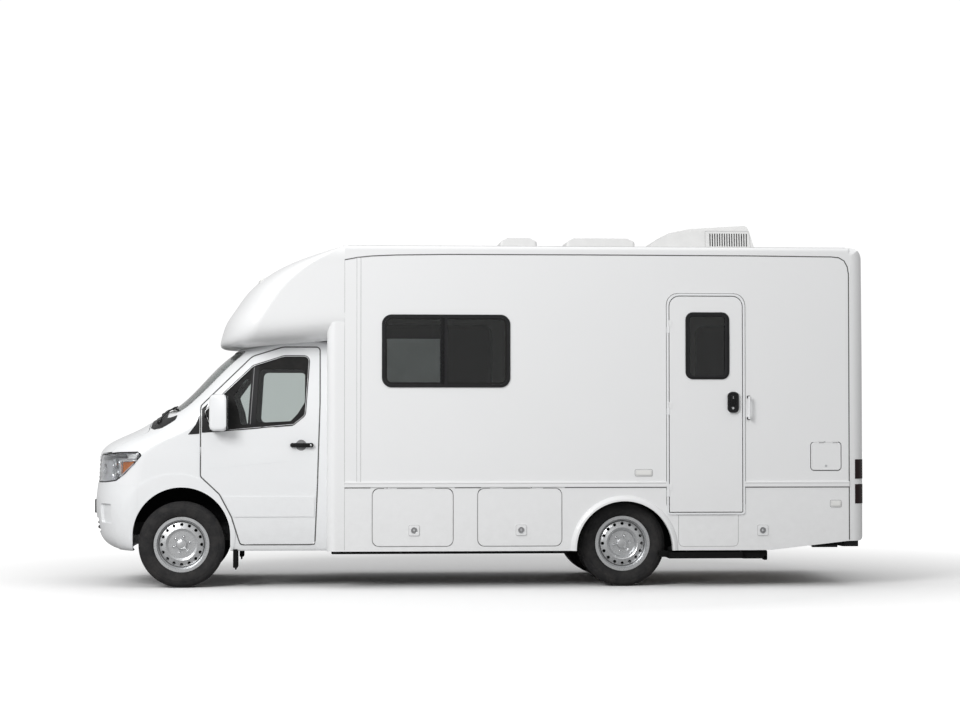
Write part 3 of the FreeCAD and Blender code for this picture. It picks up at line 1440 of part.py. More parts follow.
    y_pipe = -(rail_half_spacing - rail_width / 2 - pipe_diameter)
    pipe_z = rail_bottom - pipe_diameter
    pipe_start = x_front_axle + arch_radius
    pipe_end = x_rear_axle - spring_length / 2
    pipe = cylinder(Vector((pipe_start + pipe_end) / 2, y_pipe, pipe_z), X_AXIS, pipe_diameter, pipe_end - pipe_start)
    box_x = x_nose + cab_length + muffler_length
    muffler = cylinder(Vector(box_x, y_pipe, pipe_z - pipe_diameter), X_AXIS, muffler_diameter, muffler_length)
    straps = [
        box((x + cross_width / 4, x + cross_width * 0.75), (y_pipe - pipe_diameter / 4, y_pipe + pipe_diameter / 4),
            (pipe_z, rail_bottom + step_plate - seat_gap))
        for x in places[1:3]
    ]
    keep("exhaust", fused(pipe, muffler, *straps))

    for sign in (-1, 1):
        edge = half_cab * cab_shares[0][3] - cab_wall - seat_gap
        front = x_front_axle + liner_radius + shut_gap
        keep("wheel_housings", box((front, front + mudflap_thickness), (sign * (edge - mudflap_width), sign * edge),
                                   (mudflap_bottom, cab_bottom + cab_wall)))

    beam_low = tail_bottom - rear_beam_height - seat_gap
    beam = prism(rectangle(x_tail - rear_beam_depth, x_tail - rear_bottom_radius / 2, -rear_beam_width / 2,
                           rear_beam_width / 2, rear_beam_height / 2), "xy", beam_low, tail_bottom - seat_gap)
    keep("rear_bumper", beam)
    tube_x = (x_tail - hitch_length, x_tail - hitch_tube / 6)
    half = hitch_tube / 2
    hitch_mid = beam_low - seat_gap - half
    tube = box(tube_x, (-half, half), (hitch_mid - half, hitch_mid + half))
    tube = tube.cut(box((tube_x[0] - overrun, tube_x[1] + overrun), (-hitch_bore / 2, hitch_bore / 2),
                        (hitch_mid - hitch_bore / 2, hitch_mid + hitch_bore / 2)))
    tube = tube.cut(cylinder(Vector(tube_x[1] - hitch_pin_setback, 0, hitch_mid), Y_AXIS, hitch_pin_diameter,
                             hitch_tube + overrun))
    hanger = box((tube_x[0], tube_x[0] + hitch_tube), (-y_web, y_web), (hitch_mid + half, rail_bottom))
    hanger = hanger.cut(box((tube_x[0] - overrun, x_tail), (hitch_tube * 1.5 - y_web, y_web - hitch_tube * 1.5),
                            (hitch_mid + half + step_plate * 2, rail_bottom)))
    keep("hitch_receiver", fused(tube, hanger))


def build_cab_interior():
    """Firewall, floor, dashboard, steering wheel, seats, mirrors and inner wheel arches."""
    room = cab_body(cab_wall + seat_gap, x_seam, cab_height)
    wall_x = x_nose + firewall_setback
    floor_low = cab_floor_top - cab_floor_thickness
    wall = box((wall_x, wall_x + firewall_thickness), (-half_cab, half_cab), (floor_low, cowl_bottom - shut_gap))
    cut_arch = [arch_tunnel(liner_radius + liner_thickness + seat_gap,
                            liner_inner_y - liner_thickness - seat_gap, y_out)]
    cut_arch.append(mirrored(cut_arch[0]))
    floor = box((wall_x, x_cab_rear), (-half_cab, half_cab), (floor_low, cab_floor_top))
    keep("cab_floor", without(fused(wall, floor).common(room), *cut_arch))
    liner = arch_tunnel(liner_radius + liner_thickness, liner_inner_y - liner_thickness, liner_outer_y)
    liner = liner.cut(arch_tunnel(liner_radius, liner_inner_y, liner_outer_y + overrun))
    liner = liner.common(box((x_nose, x_seam), (0, half_cab), (rail_bottom + rail_height + seat_gap, cab_height)))
    keep("wheel_housings", *both(liner.common(room)))
    dash_x = wall_x + firewall_thickness + seat_gap
    dash = prism(
        [(dash_x, dash_bottom, 0), (dash_x + dash_depth * 0.5, dash_bottom, shut_gap * 4),
         (dash_x + dash_depth, dash_bottom + (dash_top - dash_bottom) * 0.55, shut_gap * 4),
         (dash_x + dash_depth * 0.8, dash_top, shut_gap * 4), (dash_x, dash_top, 0)],
        "xz", -half_cab, half_cab,
    )
    side_room = cab_body(cab_wall + shut_gap, x_seam, cab_height)
    keep("dashboard", dash.common(side_room))

    lean = Vector(0.55, 0, 0.84).normalize()
    centre = Vector(x_nose + steering_setback + dash_depth / 2, steering_y, steering_z)
    ring = Part.makeTorus((wheel_diameter - wheel_rim_diameter) / 2, wheel_rim_diameter / 2, centre, lean)
    hub = cylinder(centre, lean, wheel_rim_diameter * 4, wheel_rim_diameter)
    arm = Vector(0, 1, 0)
    spoke = cylinder(centre, arm, wheel_rim_diameter * 0.8, wheel_diameter - wheel_rim_diameter)
    column = Part.makeCylinder(wheel_rim_diameter, dash_depth * 0.36, centre, lean * -1)
    helm = ring.fuse(hub).fuse(spoke).fuse(column)
    keep("steering_wheel", helm.cut(SOLIDS["dashboard"][0]))

    for sign in (-1, 1):
        y = sign * seat_half_spacing
        x = x_nose + seat_setback
        half = seat_width / 2
        base = box((x + seat_depth * 0.1, x + seat_depth * 0.9), (y - half * 0.8, y + half * 0.8),
                   (cab_floor_top, cab_floor_top + seat_base_height))
        keep("cab_seats", base)
        cushion_z = cab_floor_top + seat_base_height + seat_gap
        cushion = prism(rectangle(x, x + seat_depth, cushion_z, cushion_z + seat_thickness, seat_thickness * 0.4),
                        "xz", y - half, y + half)
        back_x = x + seat_depth + seat_gap
        tilt = seat_back_height * 0.2
        back_z = cushion_z
        back = prism(
            [(back_x, cushion_z + seat_thickness, 0), (back_x, back_z, seat_thickness * 0.2),
             (back_x + seat_back_thickness, back_z, seat_thickness * 0.2),
             (back_x + seat_back_thickness + tilt, back_z + seat_back_height, seat_thickness * 0.4),
             (back_x + tilt, back_z + seat_back_height, seat_thickness * 0.3)],
            "xz", y - half, y + half,
        )
        rest_z = back_z + seat_back_height + seat_gap
        rest = prism(
            rectangle(back_x + tilt, back_x + tilt + seat_back_thickness * 0.9, rest_z, rest_z + headrest_height,
                      seat_thickness * 0.3),
            "xz", y - half * 0.5, y + half * 0.5,
        )
        keep("cab_seats", cushion, back, rest)

    for sign, side in ((-1, "left"), (1, "right")):
        x = x_nose + mirror_setback
        y_face = half_cab + mirror_stand_off
        body = prism(rectangle(y_face, y_face + mirror_width, mirror_bottom, mirror_bottom + mirror_height,
                               mirror_depth * 0.4), "yz", x, x + mirror_depth)
        nose = [(x, y_face - overrun, 0), (x + mirror_depth, y_face - overrun, 0),
                (x + mirror_depth, y_face + mirror_width + overrun, 0),
                (x + mirror_depth * 0.7, y_face + mirror_width + overrun, 0),
                (x, y_face + mirror_width * 0.6, mirror_depth)]
        body = body.common(prism(nose, "xy", mirror_bottom - overrun, mirror_bottom + mirror_height + overrun))
        foot_y = half_cab * 0.965
        stalk_mid = Vector(x + mirror_depth * 0.6, (y_face + foot_y) / 2 + axis_sink,
                           mirror_bottom + mirror_height * 0.2)
        stalk = cylinder(stalk_mid, Y_AXIS, mirror_arm_diameter, y_face - foot_y)
        mirror_body = body.fuse(stalk)
        if side == "left":
            mirror_body = mirrored(mirror_body)
        door = SOLIDS["cab_door_" + side]
        door[0] = door[0].fuse(mirror_body).Solids[0]


def write_parts():
    """Writes each node to its own file."""
    os.makedirs("parts", exist_ok=True)
    for name, solids in SOLIDS.items():
        shape = solids[0] if len(solids) == 1 else Part.makeCompound(solids)
        shape.exportStep("parts/" + name + ".step")


build_cab()
build_coach()
build_walls()
build_entry()
build_roof()
build_wheels()
build_chassis()
build_cab_interior()
write_parts()
for name, solids in SOLIDS.items():
    print(name, len(solids), all(s.isValid() for s in solids), [round(s.Volume / 1e6, 2) for s in solids])
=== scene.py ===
"""Looks of a coachbuilt camper van: paint, glass, tyres, lamps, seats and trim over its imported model."""

import json
import logging
import math
from dataclasses import dataclass, field
from enum import Enum
from typing import ClassVar

import bmesh
import bpy
from mathutils import Matrix, Vector
from mathutils.bvhtree import BVHTree

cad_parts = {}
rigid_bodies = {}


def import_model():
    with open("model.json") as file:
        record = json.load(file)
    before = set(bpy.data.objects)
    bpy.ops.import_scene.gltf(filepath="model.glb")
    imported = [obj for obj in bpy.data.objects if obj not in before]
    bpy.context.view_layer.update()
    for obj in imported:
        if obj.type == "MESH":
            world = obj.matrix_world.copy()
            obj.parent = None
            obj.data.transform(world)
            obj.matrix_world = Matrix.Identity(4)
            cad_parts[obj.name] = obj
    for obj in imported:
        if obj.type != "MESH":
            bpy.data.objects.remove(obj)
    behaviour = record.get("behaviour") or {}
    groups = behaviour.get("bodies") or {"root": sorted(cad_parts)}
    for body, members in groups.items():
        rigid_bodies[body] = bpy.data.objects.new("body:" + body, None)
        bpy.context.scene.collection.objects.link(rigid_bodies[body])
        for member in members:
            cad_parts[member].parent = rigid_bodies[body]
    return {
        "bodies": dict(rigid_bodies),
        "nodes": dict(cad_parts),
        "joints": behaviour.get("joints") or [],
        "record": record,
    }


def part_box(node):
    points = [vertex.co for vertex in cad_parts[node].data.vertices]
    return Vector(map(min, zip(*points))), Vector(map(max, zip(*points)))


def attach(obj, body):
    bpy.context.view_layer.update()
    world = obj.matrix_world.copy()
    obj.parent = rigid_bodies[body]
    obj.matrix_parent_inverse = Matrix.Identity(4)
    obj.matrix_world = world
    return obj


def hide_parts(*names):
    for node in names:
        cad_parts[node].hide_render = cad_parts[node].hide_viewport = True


log = logging.getLogger("camper")

BODY = "vehicle_body"
Colour = tuple[float, float, float]
Corners = list[tuple[float, float]]
Line = tuple[tuple[float, float], ...]
Arcs = tuple[tuple[float, float, float], ...]
Nodes = dict[str, bpy.types.Object]
Shape = bmesh.types.BMesh
Socket = bpy.types.NodeSocket
Value = Socket | float | Colour
Place = Vector | tuple[float, float, float]


class Side(Enum):
    """A side of the vehicle, as the sign of y there."""

    LEFT = -1
    RIGHT = 1

    @property
    def word(self) -> str:
        """The side's name, as the nodes and bodies use it."""
        return self.name.lower()

    @property
    def look(self) -> "Look":
        """The direction in which trim is laid on this side."""
        return Look[self.name]


class Look(Enum):
    """The direction in which trim is laid on the skin."""

    LEFT = (0.0, 1.0, 0.0)
    RIGHT = (0.0, -1.0, 0.0)
    FRONT = (1.0, 0.0, 0.0)
    REAR = (-1.0, 0.0, 0.0)
    TOP = (0.0, 0.0, -1.0)

    @property
    def vector(self) -> Vector:
        """The direction as a vector."""
        return Vector(self.value)

    def place(self, a: float, b: float, distance: float = 6.0) -> Vector:
        """A point well outside the vehicle in front of the place (a, b).

        Args:
            a: The first coordinate, x on the sides and top and y on the ends.
            b: The second coordinate, z on the sides and ends and y on the top.
            distance: How far outside the point is.

        Returns:
            The point, in metres.
        """
        away = -self.vector * distance
        if self in (Look.LEFT, Look.RIGHT):
            return Vector((a, away.y, b))
        if self is Look.TOP:
            return Vector((a, b, away.z))
        return Vector((away.x, a, b))


class Wiring:
    """Short calls for the nodes that the materials and the shared effects are made of."""

    def __init__(self, tree: bpy.types.NodeTree, place: Socket) -> None:
        """Starts wiring in a tree.

        Args:
            tree: The node tree.
            place: The socket that gives the object coordinates.
        """
        self.tree = tree
        self.place = place

    def feed(self, target: Socket, value: Value) -> None:
        """Links a socket to another one, or sets it.

        Args:
            target: The socket to feed.
            value: A socket, a number or a colour.
        """
        if isinstance(value, bpy.types.NodeSocket):
            self.tree.links.new(value, target)
        else:
            target.default_value = value

    def node(self, kind: str, output: str | int, inputs: dict[str | int, Value], **settings: str) -> Socket:
        """Makes a node.

        Args:
            kind: The node's type, without its first word.
            output: Which of its outputs is wanted.
            inputs: What its sockets get.
            settings: Its own settings.

        Returns:
            The output.
        """
        node = self.tree.nodes.new("ShaderNode" + kind)
        for key, value in settings.items():
            setattr(node, key, value)
        for key, value in inputs.items():
            self.feed(node.inputs[key], value)
        return node.outputs[output]

    def stretched(self, scale: Value) -> Socket:
        """Object coordinates with a scale of their own along each axis."""
        return self.node("Mapping", 0, {"Vector": self.place, "Scale": scale})

    def noise(self, scale: Value, detail: float = 3.0, rough: float = 0.5, vector: Socket | None = None) -> Socket:
        """A noise pattern's grey value.

        Args:
            scale: Cells per metre.
            detail: How many finer layers it has.
            rough: How strong the finer layers are.
            vector: Where it is read, the object coordinates if none is given.

        Returns:
            The socket with the value.
        """
        return self.node("TexNoise",
                         "Fac", {"Scale": scale, "Detail": detail, "Roughness": rough, "Vector": vector or self.place})

    def cells(self, scale: Value) -> Socket:
        """A cell pattern's distance value."""
        return self.node("TexVoronoi", "Distance", {"Scale": scale, "Vector": self.place})

    def waves(self, scale: Value, axis: str) -> Socket:
        """Even bands along one axis."""
        return self.node("TexWave", "Fac", {"Scale": scale, "Vector": self.place}, bands_direction=axis)

    def math(self, kind: str, a: Value, b: Value) -> Socket:
        """A math node of two values."""
        return self.node("Math", 0, {0: a, 1: b}, operation=kind)

    def height(self) -> Socket:
        """The height above the ground at rest, in metres."""
        return self.node("SeparateXYZ", "Z", {0: self.place})

    def ranged(self, source: Socket, low: Value, high: Value, to_low: Value = 0.0, to_high: Value = 1.0) -> Socket:
        """A value mapped from one range to another, and held inside it."""
        return self.node("MapRange", "Result",
                         {"Value": source, "From Min": low, "From Max": high, "To Min": to_low, "To Max": to_high})

    def mixed(self, factor: Socket, a: Colour | Socket, b: Colour | Socket) -> Socket:
        """Two colours mixed by a value."""
        ends = {6 + i: (*colour, 1.0) if isinstance(colour, tuple) else colour for i, colour in enumerate((a, b))}
        return self.node("Mix", 2, {0: factor, **ends}, data_type="RGBA")


class Effect(Wiring):
    """A surface effect that several materials share: one node group with named inputs and outputs."""

    def __init__(self, name: str, inputs: tuple[str, ...], outputs: tuple[str, ...]) -> None:
        """Starts the group and its sockets.

        Args:
            name: The group's name.
            inputs: Its inputs, besides the object coordinates; Stretch is a vector and the others are values.
            outputs: Its outputs.
        """
        tree = bpy.data.node_groups.new(name, "ShaderNodeTree")
        for key in ("Place", *inputs):
            kind = "NodeSocketVector" if key in ("Place", "Stretch") else "NodeSocketFloat"
            tree.interface.new_socket(name=key, in_out="INPUT", socket_type=kind)
        for key in outputs:
            tree.interface.new_socket(name=key, in_out="OUTPUT", socket_type="NodeSocketFloat")
        self.given = tree.nodes.new("NodeGroupInput").outputs
        self.sink = tree.nodes.new("NodeGroupOutput")
        super().__init__(tree, self.given["Place"])

    def give(self, **results: Socket) -> bpy.types.NodeTree:
        """Wires the group's outputs.

        Args:
            results: What each output gives.

        Returns:
            The finished group.
        """
        for key, value in results.items():
            self.feed(self.sink.inputs[key], value)
        return self.tree


class Graph(Wiring):
    """A material's nodes round one principled shader."""

    def __init__(self, name: str) -> None:
        """Starts a material.

        Args:
            name: The material's name.
        """
        self.material = bpy.data.materials.new(name)
        self.material.use_nodes = True
        tree = self.material.node_tree
        tree.nodes.clear()
        self.shader = tree.nodes.new("ShaderNodeBsdfPrincipled")
        super().__init__(tree, tree.nodes.new("ShaderNodeTexCoord").outputs["Object"])
        self.feed(tree.nodes.new("ShaderNodeOutputMaterial").inputs["Surface"], self.shader.outputs[0])

    def set(self, **values: float | Colour) -> None:
        """Sets the shader's own sockets, named with underscores for spaces."""
        for key, value in values.items():
            socket = self.shader.inputs[key.replace("_", " ")]
            socket.default_value = (*value, 1.0) if isinstance(value, tuple) and socket.type == "RGBA" else value

    def placed(self, effect: bpy.types.NodeTree, **values: float | Colour) -> bpy.types.bpy_prop_collection:
        """Places a shared effect in the material.

        Args:
            effect: The effect's group.
            values: The material's own values for its inputs, named with underscores for spaces.

        Returns:
            The effect's outputs.
        """
        node = self.tree.nodes.new("ShaderNodeGroup")
        node.node_tree = effect
        self.feed(node.inputs["Place"], self.place)
        for key, value in values.items():
            node.inputs[key.replace("_", " ")].default_value = value
        return node.outputs

    def colour(self, source: Socket) -> None:
        """Gives the shader its colour."""
        self.feed(self.shader.inputs["Base Color"], source)

    def rough(self, source: Socket, low: float, high: float) -> None:
        """Gives the shader a roughness between two values, by a mask."""
        self.feed(self.shader.inputs["Roughness"], self.ranged(source, 0.0, 1.0, low, high))

    def bump(self, source: Socket, strength: float, depth: float) -> None:
        """Raises the surface by a pattern.

        Args:
            source: The pattern's value.
            strength: How much of it shows.
            depth: Its height in metres.
        """
        raised = self.node("Bump", 0, {"Strength": strength, "Distance": depth, "Height": source})
        self.feed(self.shader.inputs["Normal"], raised)


@dataclass(frozen=True)
class Finish:
    """A finish: its name, the record's slot it belongs to, its colour and how rough it is."""

    name: str
    slot: str
    tint: Colour
    roughness: float = 0.4

    def effect(self) -> bpy.types.NodeTree:
        """The node group that all finishes of this kind share, made once.

        Returns:
            The group.
        """
        name = type(self).__name__.lower() + "_effect"
        return bpy.data.node_groups.get(name) or self.grouped(name)

    def grouped(self, name: str) -> bpy.types.NodeTree:
        """Builds the shared group. The plain one is a faint mottle.

        Args:
            name: The group's name.

        Returns:
            The group.
        """
        effect = Effect(name, (), ("Mottle",))
        return effect.give(Mottle=effect.noise(40.0))

    def shade(self, graph: Graph) -> None:
        """Dresses a material with the shared effect and the finish's own values.

        Args:
            graph: The material's nodes.
        """
        graph.colour(graph.mixed(graph.placed(self.effect())["Mottle"], self.tint, scaled(self.tint, 0.9)))

    def material(self) -> bpy.types.Material:
        """The finish as a material, made once.

        Returns:
            The material.
        """
        known = bpy.data.materials.get(self.name)
        if known:
            return known
        graph = Graph(self.name)
        graph.set(Roughness=self.roughness)
        self.shade(graph)
        graph.material.diffuse_color = (*self.tint, 1.0)
        return graph.material


def scaled(colour: Colour, by: float) -> Colour:
    """A colour made darker or lighter."""
    return (min(colour[0] * by, 1.0), min(colour[1] * by, 1.0), min(colour[2] * by, 1.0))


@dataclass(frozen=True)
class Paint(Finish):
    """Gloss paint or gelcoat under a clear coat, with a layer low down that is partly road dust and partly painted
    shade darkening towards the bottom.
    """

    # dust sets the strength of the low layer: road dust in patches and painted shade that darkens the paint towards the
    # bottom.
    dust: float = 0.16
    dust_top: float = 1.05
    coat: float = 0.35
    ripple: float = 0.035

    def grouped(self, name: str) -> bpy.types.NodeTree:
        """A faint large mottle, a layer of dust and painted shade that fades with height, and the ripple of sprayed
        paint.
        """
        effect = Effect(name, ("Dust", "Dust Top"), ("Mottle", "Film", "Ripple"))
        # The fade with height is painted shade, darker towards the bottom; the noise spots are road dust.
        low = effect.ranged(effect.height(), 0.2, effect.given["Dust Top"], 1.0, 0.0)
        spots = effect.ranged(effect.noise(14.0, 6.0, 0.65), 0.35, 0.75, 0.2, 1.0)
        dust_and_shade = effect.math("MULTIPLY", effect.math("MULTIPLY", low, spots), effect.given["Dust"])
        return effect.give(Mottle=effect.noise(1.7, 2.0), Film=dust_and_shade, Ripple=effect.noise(260.0, 2.0))

    def shade(self, graph: Graph) -> None:
        """Paint under the layer of dust and painted shade, which also dulls it."""
        graph.set(Coat_Weight=self.coat, Coat_Roughness=0.05, Specular_IOR_Level=0.5)
        wear = graph.placed(self.effect(), Dust=self.dust, Dust_Top=self.dust_top)
        base = graph.mixed(wear["Mottle"], self.tint, scaled(self.tint, 0.985))
        # This grey is partly road dust and partly painted shade on the lower body.
        graph.colour(graph.mixed(wear["Film"], base, (0.36, 0.35, 0.335)))
        dull = graph.ranged(wear["Film"], 0.0, 0.1)
        graph.rough(dull, self.roughness, self.roughness + 0.12)
        graph.bump(wear["Ripple"], self.ripple, 0.0006)


@dataclass(frozen=True)
class Plastic(Finish):
    """Moulded plastic with a fine leathery grain."""

    grain: float = 420.0
    depth: float = 0.0004
    shine: float = 0.5
    worn: float = 1.25

    def grouped(self, name: str) -> bpy.types.NodeTree:
        """A grain of small cells, patches of wear and an uneven gloss."""
        effect = Effect(name, ("Grain",), ("Wear", "Dull", "Cells"))
        return effect.give(Wear=effect.ranged(effect.noise(9.0, 5.0), 0.45, 0.8),
                           Dull=effect.ranged(effect.noise(60.0, 4.0), 0.3, 0.7),
                           Cells=effect.cells(effect.given["Grain"]))

    def shade(self, graph: Graph) -> None:
        """Grained plastic, a little lighter where it is worn."""
        graph.set(Specular_IOR_Level=self.shine)
        wear = graph.placed(self.effect(), Grain=self.grain)
        graph.colour(graph.mixed(wear["Wear"], self.tint, scaled(self.tint, self.worn)))
        graph.rough(wear["Dull"], self.roughness, self.roughness + 0.1)
        graph.bump(wear["Cells"], 0.35, self.depth)


@dataclass(frozen=True)
class Rubber(Finish):
    """Tyre and seal rubber: dark, dull and a little dusty."""

    dust: float = 0.25

    def grouped(self, name: str) -> bpy.types.NodeTree:
        """Dust in patches over a fine pitted surface."""
        effect = Effect(name, ("Dust",), ("Patches", "Dull", "Pits"))
        patches = effect.ranged(effect.noise(11.0, 6.0, 0.7), 0.4, 0.8, 0.0, effect.given["Dust"])
        return effect.give(Patches=patches,
                           Dull=effect.ranged(effect.noise(45.0, 5.0), 0.3, 0.7), Pits=effect.noise(900.0, 3.0))

    def shade(self, graph: Graph) -> None:
        """Dull rubber with the dust over it."""
        graph.set(Specular_IOR_Level=0.2)
        wear = graph.placed(self.effect(), Dust=self.dust)
        graph.colour(graph.mixed(wear["Patches"], self.tint, (0.12, 0.11, 0.1)))
        graph.rough(wear["Dull"], self.roughness, self.roughness + 0.15)
        graph.bump(wear["Pits"], 0.3, 0.0004)


@dataclass(frozen=True)
class Metal(Finish):
    """Bare or silver-painted metal with brushing, spangle or rust in its own measure."""

    metallic: float = 1.0
    brushing: Colour = (1.0, 1.0, 1.0)
    soil: Colour = (0.2, 0.17, 0.14)
    soiling: float = 0.15

    def grouped(self, name: str) -> bpy.types.NodeTree:
        """Streaks along the brushing, with dirt gathered in patches."""
        effect = Effect(name, ("Stretch", "Soiling"), ("Streaks", "Dull", "Dirt"))
        streaks = effect.noise(120.0, 4.0, 0.6, effect.stretched(effect.given["Stretch"]))
        dirt = effect.ranged(effect.noise(16.0, 6.0, 0.7), 0.5, 0.85, 0.0, effect.given["Soiling"])
        return effect.give(Streaks=streaks, Dull=effect.ranged(streaks, 0.3, 0.7), Dirt=dirt)

    def shade(self, graph: Graph) -> None:
        """Brushed metal with its dirt."""
        graph.set(Metallic=self.metallic)
        wear = graph.placed(self.effect(), Stretch=self.brushing, Soiling=self.soiling)
        tone = graph.mixed(wear["Streaks"], self.tint, scaled(self.tint, 0.8))
        graph.colour(graph.mixed(wear["Dirt"], tone, self.soil))
        graph.rough(wear["Dull"], self.roughness - 0.05, self.roughness + 0.15)
        graph.bump(wear["Streaks"], 0.12, 0.0003)


@dataclass(frozen=True)
class Fluted(Finish):
    """The lamp's silvered reflector with fine upright flutes."""

    def shade(self, graph: Graph) -> None:
        """Bands along the lamp raise the surface, and painted shade darkens its hollows a little."""
        graph.set(Metallic=0.8)
        flutes = graph.waves(22.0, "X")
        # The darker colour in the flutes' hollows is painted shade.
        graph.colour(graph.mixed(flutes, scaled(self.tint, 0.72), self.tint))
        graph.rough(graph.ranged(graph.noise(30.0), 0.3, 0.7), self.roughness, self.roughness + 0.12)
        graph.bump(flutes, 0.5, 0.003)


@dataclass(frozen=True)
class Grille(Finish):
    """Moulded mesh of small black cells."""

    def shade(self, graph: Graph) -> None:
        """Cells with painted shade in the hollows between raised threads."""
        cells = graph.ranged(graph.cells(55.0), 0.25, 0.55)
        # The near-black in the cells' hollows is painted shade.
        graph.colour(graph.mixed(cells, (0.002, 0.002, 0.002), self.tint))
        graph.rough(cells, 0.8, self.roughness)
        graph.bump(cells, 0.6, 0.003)


@dataclass(frozen=True)
class Glass(Finish):
    """Sheet glass or clear lens plastic, tinted by its colour."""

    clear: float = 1.0
    smear: float = 0.02
    shine: float = 0.5

    def grouped(self, name: str) -> bpy.types.NodeTree:
        """Faint smears."""
        effect = Effect(name, (), ("Smears",))
        return effect.give(Smears=effect.ranged(effect.noise(5.0, 5.0), 0.4, 0.8))

    def shade(self, graph: Graph) -> None:
        """Even clear glass with the smears in its gloss."""
        graph.set(Base_Color=self.tint, Transmission_Weight=self.clear, IOR=1.48, Specular_IOR_Level=self.shine)
        graph.rough(graph.placed(self.effect())["Smears"], self.roughness, self.roughness + self.smear)


@dataclass(frozen=True)
class Cloth(Finish):
    """Woven seat cloth: two threads crossing, with a soft sheen."""

    thread: float = 520.0

    def grouped(self, name: str) -> bpy.types.NodeTree:
        """Warp and weft as crossed bands, with patches of wear."""
        effect = Effect(name, ("Thread",), ("Weave", "Worn"))
        warp, weft = (effect.waves(effect.given["Thread"], axis) for axis in ("Y", "DIAGONAL"))
        return effect.give(Weave=effect.math("MAXIMUM", warp, weft),
                           Worn=effect.ranged(effect.noise(6.0, 4.0), 0.35, 0.75))

    def shade(self, graph: Graph) -> None:
        """Cloth, darker between its threads and where it is worn."""
        graph.set(Sheen_Weight=0.3, Sheen_Roughness=0.5, Specular_IOR_Level=0.2)
        wear = graph.placed(self.effect(), Thread=self.thread)
        tone = graph.mixed(wear["Worn"], self.tint, scaled(self.tint, 0.75))
        graph.colour(graph.mixed(wear["Weave"], scaled(self.tint, 0.55), tone))
        graph.bump(wear["Weave"], 0.5, 0.0008)


